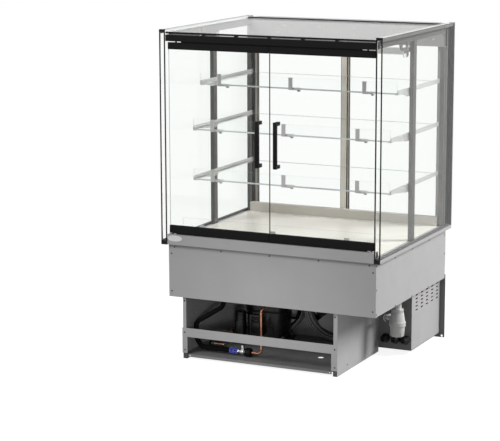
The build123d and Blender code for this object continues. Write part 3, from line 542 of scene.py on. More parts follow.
def addScrews(bm, spots, radius, height, finish, slot, recessShadeSlot):
    # spots is a list of (point in metres, outward vector)
    mesh = bpy.data.meshes.new("screwPoints")
    mesh.from_pydata([tuple(point) for point, direction in spots], [], [])
    vectors = mesh.attributes.new("outward", "FLOAT_VECTOR", "POINT")
    for i, (point, direction) in enumerate(spots):
        vectors.data[i].vector = direction
    long, thin, deep = radius * 1.0, radius * 0.26, 0.25
    made = runTree(screwTree, mesh, {"Radius": radius * mm, "Height": height * mm, "Finish": finish,
                                     "Recess": paintedRecessShade, "Cross": (long * mm, thin * mm, deep * mm),
                                     "Cross turned": (thin * mm, long * mm, deep * mm)})
    joined(bm, made, {finish.name: slot, paintedRecessShade.name: recessShadeSlot})


# Equal boxes round a circle: knurls and ribs
ringTree, ring = newTree("ringOfBoxes", [("Count", "Int"), ("Radius", "Float"), ("Size", "Vector"),
                                         ("Centre", "Vector"), ("Turn", "Vector"), ("Finish", "Material")])
ringLine = add(ringTree, "GeometryNodeMeshCircle", {"Vertices": ring["Count"], "Radius": ring["Radius"]})
ringSpot = add(ringTree, "GeometryNodeInputPosition")
ringFacing = add(ringTree, "FunctionNodeAlignRotationToVector", {"Vector": ringSpot.outputs[0]}, axis="X")
ringCube = add(ringTree, "GeometryNodeMeshCube", {"Size": ring["Size"]})
ringCopies = add(ringTree, "GeometryNodeInstanceOnPoints", {"Points": ringLine.outputs[0],
                                                            "Instance": ringCube.outputs["Mesh"],
                                                            "Rotation": ringFacing.outputs[0]})
ringReal = add(ringTree, "GeometryNodeRealizeInstances", {0: ringCopies.outputs[0]})
ringPlaced = add(ringTree, "GeometryNodeTransform", {"Geometry": ringReal.outputs[0],
                                                     "Translation": ring["Centre"], "Rotation": ring["Turn"]})
ringDone = add(ringTree, "GeometryNodeSetMaterial", {"Geometry": ringPlaced.outputs[0],
                                                     "Material": ring["Finish"]})
add(ringTree, "NodeGroupOutput", {0: ringDone.outputs[0]})
eulerOf = {"z": (0.0, 0.0, 0.0), "x": (0.0, math.pi / 2, 0.0), "y": (math.pi / 2, 0.0, 0.0)}


def addRing(bm, count, radius, size, centre, axis, material, slot):
    # size is (outward, round, along the axis) in millimetres
    mesh = bpy.data.meshes.new("ring")
    made = runTree(ringTree, mesh, {"Count": count, "Radius": radius * mm, "Turn": eulerOf[axis],
                                    "Centre": tuple(at(*centre)), "Finish": material,
                                    "Size": tuple(v * mm for v in size)})
    joined(bm, made, {material.name: slot})


print("trees made")

# Side glass: two panes, pale top edges, black front edges, white seals and a dark rear spacer
sideGlass = {"front": 0.5, "edgeTape": 3.5, "back": 852, "bottom": 518, "top": 1413, "pane": 5, "inner": 473,
             "gap": (478, 495), "band": (838, 851.5), "rearSpacer": (840, 850), "frontSeal": (3.6, 6.5),
             "bottomSpacer": (518.5, 523), "topSeal": (1402, 1411.5), "topBand": (1397, 1412.6)}


def paneBox(bm, x, y, z, thinAxis, slots):
    # A sheet whose two large faces take slot 0; slots maps an edge direction to another slot
    before = set(bm.faces)
    addBox(bm, x, y, z)
    fresh = [face for face in bm.faces if face not in before]
    bmesh.ops.recalc_face_normals(bm, faces=fresh)
    for face in fresh:
        normal = face.normal
        axis = max(range(3), key=lambda i: abs(normal[i]))
        if axis != thinAxis:
            side = "+" if normal[axis] > 0 else "-"
            face.material_index = slots.get(side + "xyz"[axis], slots["other"])


def mirrored(side, low, high):      # an X range on the left or right side
    return (low, high) if side > 0 else (-high, -low)


def sideUnit(side, node, name):
    g = sideGlass
    bm = bmesh.new()
    for near in (g["inner"], g["gap"][1]):
        paneX = mirrored(side, near, near + g["pane"])
        paneBox(bm, paneX, (g["edgeTape"], g["back"]), (g["bottom"], g["top"]), 0,
                {"-y": 1, "+z": 2, "other": 3})
        addBox(bm, paneX, (g["front"], g["edgeTape"]), (g["bottom"], g["top"]), 1)
    low, high = g["gap"]
    gap = mirrored(side, low + 0.2, high - 0.2)
    addBox(bm, mirrored(side, high - 0.6, high - 0.1), g["band"], (g["bottom"], g["top"]), 1)
    addBox(bm, mirrored(side, low + 0.2, high - 0.8), g["rearSpacer"], (g["bottom"] + 0.5, g["top"] - 0.5), 4)
    addBox(bm, gap, g["frontSeal"], (g["bottom"] + 0.5, g["top"] - 0.5), 0)
    addBox(bm, mirrored(side, high - 0.6, high - 0.1), (g["frontSeal"][1], g["band"][0]), g["topBand"], 6)
    addBox(bm, gap, (g["frontSeal"][1], g["rearSpacer"][0]), g["bottomSpacer"], 4)
    addBox(bm, gap, (g["frontSeal"][1], g["rearSpacer"][0]), g["topSeal"], 5)
    return finishMesh(name, bm, [floatGlass, blackEnamel, paleEdge, groundEdge, darkSpacer, whiteSeal,
                                 bandGrey],
                      (node,), smooth=0)


sideUnit(-1, "side_glass_left", "left_side_unit")
sideUnit(1, "side_glass_right", "right_side_unit")


def boxOf(name):                    # a node's box in the millimetres used here
    low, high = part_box(name)
    back = [(low[1] - glassFront) / mm, (high[1] - glassFront) / mm]
    return (low[0] / mm, high[0] / mm), tuple(back), (low[2] / mm, high[2] / mm)


def sheetFrom(name, thinAxis, sheet, edge, slots=None):
    bm = bmesh.new()
    paneBox(bm, *boxOf(name), thinAxis, {"other": 1, **(slots or {})})
    return finishMesh(name + "_sheet", bm, [sheet, edge, blackEnamel, paleEdge], (name,), smooth=0)


# The roof edges and the front edges of the shelves take the pale edge too: painted light, as on the top edges of the
# side panes
sheetFrom("roof_glass", 2, roofGlass, paleEdge, {"-y": 2})
for shelfName in ("upper_shelf", "middle_shelf", "lower_shelf"):
    sheetFrom(shelfName, 2, floatGlass, groundEdge, {"-y": 3})
sheetFrom("left_door_glass", 1, floatGlass, groundEdge, {"+x": 2})
sheetFrom("right_door_glass", 1, floatGlass, groundEdge, {"-x": 2})
for doorName in ("rear_door_left_glass", "rear_door_right_glass"):
    sheetFrom(doorName, 1, floatGlass, groundEdge)

risers = {"half": 451, "thickness": 3, "fronts": (282.5, 212.5, 212.5, 107), "bottoms": (1156, 967, 750, 522),
          "tops": (1205, 1016, 799, 602)}
riserMesh = bmesh.new()
for front, bottom, top in zip(risers["fronts"], risers["bottoms"], risers["tops"]):
    paneBox(riserMesh, (-risers["half"], risers["half"]), (front, front + risers["thickness"]),
            (bottom, top), 1, {"other": 1})
finishMesh("front_risers", riserMesh, [acrylic, acrylicEdge], ("shelf_risers",), smooth=0)
print("glass made")


# Rear header: black gasket standing along the roof glass, and pale fixing screws in its front wall
rearHeader = {"gasket": ((-470, 470), (796, 799.5), (1404.8, 1409.5)), "screwPlaces": ((-285, 1372), (-116, 1372), (53, 1372), (226, 1372), (399, 1372),
                              (-316, 1341), (53, 1341), (421, 1341)),
              "wall": 788.9, "clamp": ((455, 471.5), (801, 828), (1402, 1409.5)), "screwRadius": 4.2, "screwHeight": 1.2}


def headerExtras(bm):
    h = rearHeader
    addBox(bm, *h["gasket"], slot=1)
    for side in (-1, 1):            # pale clamps on the rear corners of the roof glass
        addBox(bm, mirrored(side, *h["clamp"][0]), *h["clamp"][1:], slot=2, bevel=0.8)
    spots = [(at(x, h["wall"] - h["screwHeight"] / 2, z), (0, -1, 0)) for x, z in h["screwPlaces"]]
    addScrews(bm, spots, h["screwRadius"], h["screwHeight"], brightScrew, 2, 3)


# Lamp: white end caps on the bar; the cover below has slanted ribs over a strip of lamp chips
lamp = {"ribs": 116,
        "ribStep": 7.4, "ribSize": (33, 1.5, 0.9), "ribTurn": 0.9, "coverBottom": 1312.0,
        "chips": 58, "chipStep": 15, "chipSize": (5, 3.4, 1.2)}


def lampExtras(bm):
    for face in bm.faces:           # the slotted plates are grey like the rails, the end caps white
        across = abs(face.calc_center_median().x) / mm
        if across > 451.5:
            face.material_index = 3
        elif 439.5 < across < 444.5:
            face.material_index = 1
    for side in (-1, 1):
        lathe(bm, [(0, -1.2), (3.2, -1.2), (3.6, 0), (0, 0)] if side > 0 else [(0, 1.2), (3.2, 1.2), (3.6, 0), (0, 0)],
              (side * 448, 402, 1327), "x", 14, 2)


def lampCover():
    x, back, z = boxOf("lamp_diffuser")
    middle = (back[0] + back[1]) / 2
    bm = bmesh.new()
    addBox(bm, x, back, (lamp["coverBottom"], z[1]), 0)
    addBox(bm, x, (back[0], back[0] + 2), (z[0], lamp["coverBottom"]), 0)
    addBox(bm, x, (back[1] - 2, back[1]), (z[0], lamp["coverBottom"]), 0)
    first = -(lamp["ribs"] - 1) * lamp["ribStep"] / 2
    addRow(bm, lamp["ribs"], (first, middle, lamp["coverBottom"] - 0.3), (lamp["ribStep"], 0, 0),
           lamp["ribSize"], greyAbs, 1, (0, 0, lamp["ribTurn"]))
    first = -(lamp["chips"] - 1) * lamp["chipStep"] / 2
    addRow(bm, lamp["chips"], (first, middle, lamp["coverBottom"] - 0.05), (lamp["chipStep"], 0, 0),
           lamp["chipSize"], ledChip, 2)
    finishMesh("lamp_cover", bm, [frosted, greyAbs, ledChip], ("lamp_diffuser",), smooth=0)


lampCover()

# Badge: a bare oval plate with a raised rim
badge = {"centre": (-436, 0, 530), "width": 70, "height": 26}
badgeMesh = bmesh.new()
lathe(badgeMesh, [(0, 1.9), (13, 1.9), (13, 0.8), (12.7, 0.5), (11.9, 0.5), (11.5, 0.9), (0, 0.9)],
      badge["centre"], "y", 56)
for badgeVert in badgeMesh.verts:
    middleX = badge["centre"][0] * mm
    badgeVert.co.x = middleX + (badgeVert.co.x - middleX) * badge["width"] / badge["height"]
finishMesh("oval_badge", badgeMesh, [badgePlate], ("sill_badge",), smooth=24)

# Doors: gaskets where the rails clamp the glass
doorRails = {"top": ((13.2, 17.8), (1331.6, 1334.2)), "bottom": ((13.2, 17.8), (580.8, 583.6)),
             "left": (-466, -3), "right": (3, 466)}


def railExtras(side):
    def fitted(bm):
        for key in ("top", "bottom"):
            back, z = doorRails[key]
            addBox(bm, doorRails[side], back, z, 1)
            addBox(bm, doorRails[side], (24.2, 28), z, 1)
    return fitted


# Handles: a square bar on two square stubs, with a pad on the glass and a screw behind it
handle = {"x": (33.2, 48.8), "bar": (-22, -9.5), "z": (861.6, 1054.4), "stub": 15, "stubX": (34, 48),
          "glass": (18, 24)}


def doorHandle(side, name):
    h = handle
    bm = bmesh.new()
    addBox(bm, mirrored(side, *h["x"]), h["bar"], h["z"], 0, 0.7, 2)
    for low in (h["z"][0], h["z"][1] - h["stub"]):
        addBox(bm, mirrored(side, *h["stubX"]), (h["bar"][1] - 1, h["glass"][0] - 0.5), (low, low + h["stub"]), 0, 0.6, 2)
        addBox(bm, mirrored(side, h["stubX"][0] - 0.4, h["stubX"][1] + 0.4), (h["glass"][0] - 0.6, h["glass"][0]),
               (low - 0.0, low + h["stub"]), 1)
        lathe(bm, [(0, 0), (5, 0), (4.4, 1.4), (1.6, 1.6), (1.6, 0.7), (0, 0.7)],
              (side * 41, h["glass"][1], low + h["stub"] / 2), "y", 20, 0)
    finishMesh(name + "_finished", bm, [blackPowder, gasket], (name,), smooth=30)


doorHandle(-1, "left_door_handle")
doorHandle(1, "right_door_handle")

# Rear sliding doors: cream rails and meeting stile, grey outer stile with a grip, black seals
slider = {"bottom": 524, "top": 1335, "rail": 18, "outer": 440, "outerStile": 10, "lap": 13, "depth": 13,
          "tracks": {-1: 806, 1: 830}, "grip": (860, 1000), "gripReach": 8, "seal": 3}


def slidingDoor(side, name):
    d = slider
    bm = bmesh.new()
    back = (d["tracks"][side], d["tracks"][side] + d["depth"])
    z = (d["bottom"], d["top"])
    inner, outer = -d["lap"], d["outer"]
    opening = (inner + 2 * d["lap"], outer - d["outerStile"])
    addBox(bm, mirrored(side, inner, opening[0]), back, z, 0, 0.9)
    addBox(bm, mirrored(side, opening[1], outer), back, z, 2, 0.9)
    addBox(bm, mirrored(side, outer - 10, outer), (back[1] - 1, back[1] + d["gripReach"]), d["grip"], 2, 1.6, 3)
    for low, high in ((z[0], z[0] + d["rail"]), (z[1] - d["rail"], z[1])):
        addBox(bm, mirrored(side, opening[0] - 0.5, opening[1] + 0.5), back, (low, high), 0, 0.9)
    middle = (back[0] + back[1]) / 2
    for low, high in ((middle - 5, middle - 2.2), (middle + 2.2, middle + 5)):
        for edge in (z[0] + d["rail"] - 0.5, z[1] - d["rail"] - d["seal"] + 0.5):
            addBox(bm, mirrored(side, *opening), (low, high), (edge, edge + d["seal"]), 1)
        for edge in (opening[0] - 0.5, opening[1] - d["seal"] + 0.5):
            addBox(bm, mirrored(side, edge, edge + d["seal"]), (low, high), (z[0] + d["rail"], z[1] - d["rail"]), 1)
    if side < 0:                    # dark strip on the edge of the inner door that meets the outer one
        addBox(bm, (12.6, 13), (back[0] + 1, back[1] - 0.5), (z[0] + 2, z[1] - 2), 1)
    finishMesh(name + "_finished", bm, [creamProfile, darkSpacer, greyProfile], (name,), smooth=30)


slidingDoor(-1, "rear_door_left_frame")
slidingDoor(1, "rear_door_right_frame")


# Shelf arms: two pan-head screws where each arm meets a post
armScrews = {"x": 451.4, "backs": ((425, 440), (797, 811)), "levels": (1150, 961, 744), "radius": 3.6,
             "height": 1.4}


def armExtras(bm):
    a = armScrews
    spots = []
    for side in (-1, 1):
        for pair in a["backs"]:
            for back in pair:
                for level in a["levels"]:
                    spots.append((at(side * a["x"], back, level), (-side, 0, 0)))
    addScrews(bm, spots, a["radius"], a["height"], screwZinc, 1, 2)


# Deck: a dark seal round its edge
def deckExtras(bm):
    for side in (-1, 1):
        addBox(bm, mirrored(side, 451.6, 453.8), (49, 776), (519.2, 519.9), 1)
    addBox(bm, (-451.6, 451.6), (47.2, 49.4), (519.2, 519.9), 1)


# Left bay wall: three pale screw tips
bayTips = ((-416.3, 149, 179), (-416.3, 140, 32), (-416.3, 140, 17.5))


def baseSideExtras(bm):
    for spot in bayTips:
        lathe(bm, [(0, 3.4), (1.8, 3.0), (2.6, 0), (0, 0)], spot, "x", 10, 1)


def notchExtras(bm):                # the panels that face the front take the darker grey: painted shade of the recess under the tub
    bmesh.ops.recalc_face_normals(bm, faces=bm.faces)
    for face in bm.faces:
        if face.normal.y < -0.9 and face.calc_center_median().x < 0.452:
            face.material_index = 1


bevels = {
    "edge_trims": (0.4, None, ()), "header_bar": (0.8, None, ()), "front_sill": (0.7, None, ()),
    "rim_rails": (0.8, None, ()), "shelf_posts": (1.0, None, ()), "top_rails": (1.0, None, ()),
    "rear_header": (0.6, headerExtras, (gasket, brightScrew, paintedRecessShade)), "rear_sill": (0.6, None, ()),
    "corner_profiles": (0.5, None, ()), "lamp_housing": (0.8, lampExtras, (brightScrew, screwZinc, anodisedAlong)),
    "shelf_arms": (0.4, armExtras, (screwZinc, paintedRecessShade)),
    "left_door_rails": (1.2, railExtras("left"), (gasket,)),
    "right_door_rails": (1.2, railExtras("right"), (gasket,)),
    "tub_front": (0.5, None, ()), "tub_sides": (0.4, None, ()), "deck_plate": (0.6, deckExtras, (darkSpacer,)),
    "base_floor": (0.4, None, ()), "base_sides": (0.4, baseSideExtras, (brightScrew,)),
    "base_front_frame": (0.35, None, ()), "notch_panels": (0.35, notchExtras, (paintedShadePanel,)), "base_rear_plate": (0.6, None, ()),
    "base_feet": (1.0, None, ()), "riser_clips": (0.5, None, ()),
}
for nodeName, (bevelWidth, extras, more) in bevels.items():
    refine(nodeName, bevelWidth, extras, more)
print("sheet metal, profiles and doors made")


# Screws of the tub and the base, at the places of the CAD heads
def screwSpots(name):
    bm = cadCopy(name)
    bm.verts.ensure_lookup_table()
    left = set(bm.verts)
    spots = []
    while left:
        island, queue = set(), [left.pop()]
        while queue:
            vert = queue.pop()
            island.add(vert)
            for edge in vert.link_edges:
                other = edge.other_vert(vert)
                if other in left:
                    left.discard(other)
                    queue.append(other)
        low = Vector([min(v.co[i] for v in island) for i in range(3)])
        high = Vector([max(v.co[i] for v in island) for i in range(3)])
        size = high - low
        axis = min(range(3), key=lambda i: size[i])
        direction = Vector((0, 0, 0))
        direction[axis] = -1 if axis == 1 or low.x < -0.4 else 1
        spots.append(((low + high) / 2 - direction * size[axis] / 2, direction))
    bm.free()
    return sorted(spots, key=lambda s: tuple(s[0]))


screwMesh = bmesh.new()
allSpots = screwSpots("panel_screws")
addScrews(screwMesh, [s for s in allSpots if not s[1].x], 3.9, 2.2, screwZinc, 0, 1)
addScrews(screwMesh, [s for s in allSpots if s[1].x], 3.9, 2.2, coatedScrew, 2, 1)
finishMesh("cross_screws", screwMesh, [screwZinc, paintedRecessShade, coatedScrew], ("panel_screws",), smooth=40)

# Compressor: rounded shell with a welded seam, cover, bare label plate, wire bail and rubber mounts
compressorSizes = {"x": -180, "back": 400, "seamLevel": 168, "halfWidth": 88, "halfDepth": 62, "corner": 48,
                   "label": ((-212, -138), (333.6, 336.8), (141, 160)),
                   "cover": ((-232, -172), (308, 312), (62, 152))}


def roundedLoop(x, back, halfWidth, halfDepth, corner, z, steps=7):
    points = []
    for cx, cy, start in ((1, 1, 0), (-1, 1, 90), (-1, -1, 180), (1, -1, 270)):
        points += arc((x + cx * (halfWidth - corner), back + cy * (halfDepth - corner)), corner,
                      start, start + 90, steps, "xy", z)
    return points


def compressorExtras(bm):
    c = compressorSizes
    for level, growth in ((c["seamLevel"], 1.9), (c["seamLevel"] - 5, 1.7)):
        scale = (level - 45) * math.tan(math.radians(2.5))
        addTube(bm, roundedLoop(c["x"], c["back"], 92 + scale + growth - 2.0, 66 + scale + growth - 2.0, 52 + scale,
                                level), 2.2, 0, 6, True)
    addBox(bm, *c["label"], slot=1, bevel=0.6)
    addBox(bm, (-226, -178), (307.4, 309), (70, 144), 2, 1.2)
    addBox(bm, (-218, -186), (306.9, 308), (98, 116), 1, 0.6)
    bail = [(-236, 330, 150), (-222, 305.5, 138), (-202, 305.5, 128), (-184, 305.5, 134), (-168, 330, 150)]
    addTube(bm, bail, 1.4, 3, 8)
    for x in (-258, -92):
        for back in (354, 446):
            lathe(bm, [(0, 46), (11.5, 46), (11.5, 50), (8, 52), (8, 55), (0, 55)], (x, back, 0), "z", 20, 4)
            lathe(bm, [(0, 55), (5.8, 55), (5.8, 58), (0, 59.5)], (x, back, 0), "z", 6, 3)


refine("compressor", 1.2, compressorExtras, (labelAndPaintedHighlight, blackCover, screwZinc, footRubber))


def receiverExtras(bm):
    for level in (34, 150):
        addTube(bm, [(p[0], p[1], level) for p in arc((-281.5, 318), 25.6, 0, 354, 35, "xy", level)], 1.4, 0, 6, True)
    lathe(bm, [(0, 162), (7, 162), (7, 161), (0, 161)], (-281.5, 318, 0), "z", 16, 0)
    # grey upright strip on the front of the black shell: painted highlight
    addBox(bm, (-290, -273), (291.2, 293), (70, 120), 1, 0.5)


refine("receiver", 0.8, receiverExtras, (labelAndPaintedHighlight,))


def pipeExtras(bm):
    for spot, axis, half in (((-80, 105, 62), "z", 8), ((-80, 105, 214), "z", 8), ((-122.5, 105, 40), "x", 4),
                             ((-98, 105, 40), "x", 3)):
        lathe(bm, [(4.8, -half), (5.6, -half + 1), (5.6, half - 1), (4.8, half)], spot, axis, 20, 0)
    lathe(bm, [(5.5, -36), (10, -33), (15.3, -28), (15.3, -26), (15.05, -25)], (-20, 360, 240), "y", 24, 0)
    lathe(bm, [(15.05, 25), (15.3, 26), (15.3, 28), (10, 33), (5.5, 36)], (-20, 360, 240), "y", 24, 0)


def plainCopy(name, extras, materials, smooth=32):
    bm = cadCopy(name)
    if extras:
        extras(bm)
    finishMesh(name + "_finished", bm, materials, (name,), smooth)


plainCopy("copper_pipes", pipeExtras, [copper])
plainCopy("insulated_hose", None, [rubberFoam])

# Service valve: slotted blue clip, nickel body with cap and bleed stem; black-ended coupler beside it
valve = {"line": (105, 40), "clipRings": (-225, -208.5, -192.5), "clipBars": 8}
valveMesh = bmesh.new()
lineBack, lineLevel = valve["line"]
for place in valve["clipRings"]:
    lathe(valveMesh, [(9.6, -2), (12, -2), (12, 2), (9.6, 2), (9.6, -2)], (place, lineBack, lineLevel), "x", 24, 0)
addRing(valveMesh, valve["clipBars"], 10.6, (2.6, 3.4, 33), (-208.5, lineBack, lineLevel), "x", blueNylon, 0)
lathe(valveMesh, [(0, -226.5), (9.8, -226.5), (9.8, -190), (0, -190)], (0, lineBack, lineLevel), "x", 20, 2)
lathe(valveMesh, [(0, -192), (9.5, -192), (9.5, -184), (7.2, -183), (7.2, -180)], (0, lineBack, lineLevel), "x", 6, 1)
lathe(valveMesh, [(7.2, -183), (7.2, -180), (11.5, -178), (13.2, -173), (13.2, -160), (11, -155), (7, -153), (7, -152),
                  (0, -152)], (0, lineBack, lineLevel), "x", 24, 1)
lathe(valveMesh, [(9, 44), (9, 56), (7.6, 57), (7.6, 60)], (-166.5, lineBack, 0), "z", 20, 1)
lathe(valveMesh, [(8.2, 59.5), (8.2, 68.5), (6.5, 69.8), (0, 69.8)], (-166.5, lineBack, 0), "z", 6, 1)
lathe(valveMesh, [(0, 26), (2.6, 26), (2.6, 30), (4.2, 31), (4.2, 38)], (-166.5, lineBack, 0), "z", 12, 1)
addRing(valveMesh, 5, 4.5, (5.5, 1.8, 2.2), (-166.5, lineBack, 28.4), "z", nickel, 1)
lathe(valveMesh, [(11.8, -1.2), (14, -1.2), (14, 1.2), (11.8, 1.2), (11.8, -1.2)], (-157, lineBack, lineLevel), "x", 24, 2)
lathe(valveMesh, [(0, -374), (6.6, -374), (8, -372.6), (8, -366), (6.4, -365)], (0, 200, 34), "x", 16, 2)
lathe(valveMesh, [(6.4, -366), (6.4, -352), (7.4, -351), (7.4, -347), (6.4, -346), (6.4, -340), (5.6, -339)],
      (0, 200, 34), "x", 16, 1)
lathe(valveMesh, [(5.6, -341), (5.6, -333), (4.8, -333)], (0, 200, 34), "x", 16, 3)
finishMesh("service_valve", valveMesh, [blueNylon, nickel, blackAbs, copper], ("valve_body",), smooth=30)

knobMesh = bmesh.new()
lathe(knobMesh, [(4.9, -151.5), (17.8, -151.5), (18.4, -150.4), (18.4, -129), (17.4, -127.3), (8, -127.3), (7.4, -129),
                 (4.9, -129)], (0, lineBack, lineLevel), "x", 40, 0)
addRing(knobMesh, 18, 18.5, (1.7, 3.2, 20), (-139.8, lineBack, lineLevel), "x", blackAbs, 0)
finishMesh("ribbed_knob", knobMesh, [blackAbs], ("valve_knob",), smooth=30)

# Drain trap: ribbed cup, flange ring, cone, knurled collar, tail pipe and side arm
trap = {"x": 424, "back": 400}
trapMesh = bmesh.new()
lathe(trapMesh, [(0, 104.2), (24, 104.2), (27.8, 106), (29.4, 110), (31.6, 144), (32, 148.2), (34.6, 149),
                 (35.9, 151.5), (35.9, 156), (34.8, 157), (34.8, 160), (35.9, 161), (35.9, 167), (34.6, 169.8),
                 (33.2, 170.4), (32.6, 172.5), (27.2, 207), (26.2, 209)], (trap["x"], trap["back"], 0), "z", 56, 0)
lathe(trapMesh, [(24, 209), (26.2, 209.6), (26.2, 212), (25.2, 212.6), (25.2, 217.4), (26.2, 218), (26.2, 220.4),
                 (25.2, 221), (25.2, 224.2), (24, 225.9), (17, 225.9)], (trap["x"], trap["back"], 0), "z", 48, 0)
addRing(trapMesh, 20, 25.4, (1.5, 2.2, 4.6), (trap["x"], trap["back"], 215), "z", whitePp, 0)
addRing(trapMesh, 10, 29.9, (1.8, 2.0, 30), (trap["x"], trap["back"], 124), "z", whitePp, 0)
lathe(trapMesh, [(16.9, 225), (16.9, 329.9), (0, 329.9)], (trap["x"], trap["back"], 0), "z", 32, 0)
addTube(trapMesh, [(trap["x"] - 24, trap["back"], 180), (378, 400, 180), (372, 403, 180), (369.2, 410, 180),
                   (369.2, 459.9, 180)], 6.9, 0, 20)
lathe(trapMesh, [(7, -6), (9.6, -5), (9.6, 5), (7, 6)], (386, 400, 180), "x", 20, 0)
strap = arc((388, 186), 16, 95, 250, 14, "xz", 372)
addTube(trapMesh, strap, 2.0, 0, 8)
finishMesh("bottle_trap", trapMesh, [whitePp], ("drain_trap",), smooth=30)

# Hose glands: hexagon nuts with ribbed domes and a dark bore
glands = {"places": (337, 386, 429), "level": 67, "wall": 495.3}
glandMesh = bmesh.new()
for number, place in enumerate(glands["places"]):
    centre = (place, glands["wall"], glands["level"])
    turn = (0.0, 0.3, 0.14)[number]
    lathe(glandMesh, [(0, -0.3), (20.2, -0.3), (20.2, -17.5), (18.6, -20), (0, -20)], centre, "y", 6, 0, turn)
    lathe(glandMesh, [(17, -19.5), (17, -24), (15.4, -25), (15.4, -30), (14.6, -35), (12.4, -39.5), (9.4, -41.8),
                      (7.6, -41.8), (7.2, -36), (0, -36)], centre, "y", 28, 0)
    addRing(glandMesh, 14, 15.4, (1.4, 2.4, 8.5), (place, glands["wall"] - 29, glands["level"]), "y", blackAbs, 0)
    lathe(glandMesh, [(0, -0.4), (9.6, -0.4), (9.6, 10.9), (0, 10.9)], centre, "y", 24, 0)
finishMesh("hose_glands_finished", glandMesh, [blackAbs], ("hose_glands",), smooth=30)
print("machinery fittings made")


# Coils: thin fins on tubes, with return bends at the ends
def finnedCoil(bm, half, backs, levels, fin, pitch, centreX=0.0):
    # backs and levels are the tube rows; fin is ((back low, high), (z low, high))
    (nearBack, farBack), (low, high) = fin
    count = int(2 * half / pitch) + 1
    first = centreX - (count - 1) * pitch / 2
    addRow(bm, count, (first, (nearBack + farBack) / 2, (low + high) / 2), (pitch, 0, 0),
           (0.35, farBack - nearBack, high - low), finMetal, 0)
    for back in backs:
        for level in levels:
            lathe(bm, [(0, -half - 2), (4.4, -half - 2), (4.4, half + 2), (0, half + 2)], (centreX, back, level), "x", 10, 1)


def returnBends(bm, x, outward, backs, levels, reach):
    for back in backs:
        for lower, upper in zip(levels[::2], levels[1::2]):
            middle, radius = (lower + upper) / 2, (upper - lower) / 2
            path = [(x + outward * reach * math.cos(a), back, middle + radius * math.sin(a))
                    for a in [math.pi * (i / 8 - 0.5) for i in range(9)]]
            addTube(bm, path, 4.3, 1, 10)


condenserSizes = {"left": -350, "right": 235, "centre": -57.5, "half": 288.5, "backs": (580, 592.5, 605),
                  "levels": tuple(47 + 21.5 * i for i in range(12)), "pitch": 3.2}
coilMesh = bmesh.new()
c = condenserSizes
finnedCoil(coilMesh, c["half"], c["backs"], c["levels"], ((570, 614.8), (35, 298)), c["pitch"], c["centre"])
for x, outward in ((c["left"], -1), (c["right"], 1)):
    inner = (x, x + 4) if outward < 0 else (x - 4, x)
    addBox(coilMesh, inner, (559, 615), (20, 304), 2, 0.6)
    returnBends(coilMesh, x + outward * 0.3, outward, c["backs"], c["levels"], 4.2)
finishMesh("condenser_coil", coilMesh, [finMetal, copper, zinc], ("condenser",), smooth=30)

evaporatorSizes = {"half": 378, "backs": (520, 547, 574, 601), "levels": (392, 417, 442, 467), "pitch": 5.0}
wellMesh = cadCopy("evaporator")
bmesh.ops.delete(wellMesh, geom=[face for face in wellMesh.faces
                                 if face.calc_center_median().y < behind(649)], context="FACES")
e = evaporatorSizes
finnedCoil(wellMesh, e["half"], e["backs"], e["levels"], ((500.2, 620), (373.5, 494.8)), e["pitch"])
for side in (-1, 1):
    addBox(wellMesh, mirrored(side, 380, 383), (500, 650), (362.2, 497), 2, 0.5)
for face in wellMesh.faces:
    if face.calc_center_median().y > behind(649):
        face.material_index = 2
finishMesh("evaporator_coil", wellMesh, [finMetal, copper, zinc], ("evaporator",), smooth=30)


# Fans: twisted sheet blades on a pressed hub
def fanWheel(name, node, centre, hub, tip, blades, wide, rise, hubHalf, bore, material, phase=0.0):
    bm = bmesh.new()
    x, back, z = centre
    lathe(bm, [(bore, -hubHalf), (hub * 0.8, -hubHalf), (hub, -hubHalf + 2), (hub, hubHalf - 1), (hub - 1, hubHalf),
               (bore, hubHalf)], centre, "y", 32, 0)
    across, outSteps = 8, 6
    for number in range(blades):
        spin = phase + 2 * math.pi * number / blades
        grid = {}
        for i in range(outSteps + 1):
            reach = i / outSteps
            radius = hub - 1.5 + (tip - hub + 1.5) * reach
            width = math.radians(wide) * (0.72 + 0.28 * reach)
            sweep = 0.22 * reach
            for j in range(across + 1):
                share = j / across - 0.5
                angle = spin + sweep + width * share
                edge = radius if i < outSteps else radius - (abs(share) * 2) ** 4 * tip * 0.07
                height = share * 2 * rise * (1.0 - 0.25 * reach) + rise * 0.22 * (1 - 4 * share * share)
                for layer, lift in ((0, -0.7), (1, 0.7)):
                    grid[i, j, layer] = bm.verts.new(at(x + edge * math.cos(angle), back + height + lift,
                                                       z + edge * math.sin(angle)))
        for i in range(outSteps):
            for j in range(across):
                for layer in (0, 1):
                    bm.faces.new([grid[i, j, layer], grid[i + 1, j, layer], grid[i + 1, j + 1, layer],
                                  grid[i, j + 1, layer]])
        for i in range(outSteps):
            for j in (0, across):
                bm.faces.new([grid[i, j, 0], grid[i + 1, j, 0], grid[i + 1, j, 1], grid[i, j, 1]])
        for j in range(across):
            for i in (0, outSteps):
                bm.faces.new([grid[i, j, 0], grid[i, j + 1, 0], grid[i, j + 1, 1], grid[i, j, 1]])
    finishMesh(name, bm, [material], (node,), smooth=34)


fanWheel("left_fan_wheel", "condenser_fan_left", (-206, 533, 168), 24, 119.5, 5, 56, 8.5, 9, 4.1, fanGreyAndBeadHighlight, math.pi / 2)
fanWheel("right_fan_wheel", "condenser_fan_right", (87, 533, 168), 24, 119.5, 5, 56, 8.5, 9, 4.1, fanGreyAndBeadHighlight, math.pi / 2)
fanWheel("well_fan_wheel", "evaporator_fan", (0, 659, 437), 16, 49, 5, 52, 4.4, 6.8, 3.1, blackAbs)

# Shroud: pressed beads round the two rings, in the lighter fan grey as a painted highlight along their ridges
shroudSizes = {"centres": (-206, 87), "level": 168, "beads": ((142.6, 501.2), (137.4, 511.8), (131.4, 529.6))}


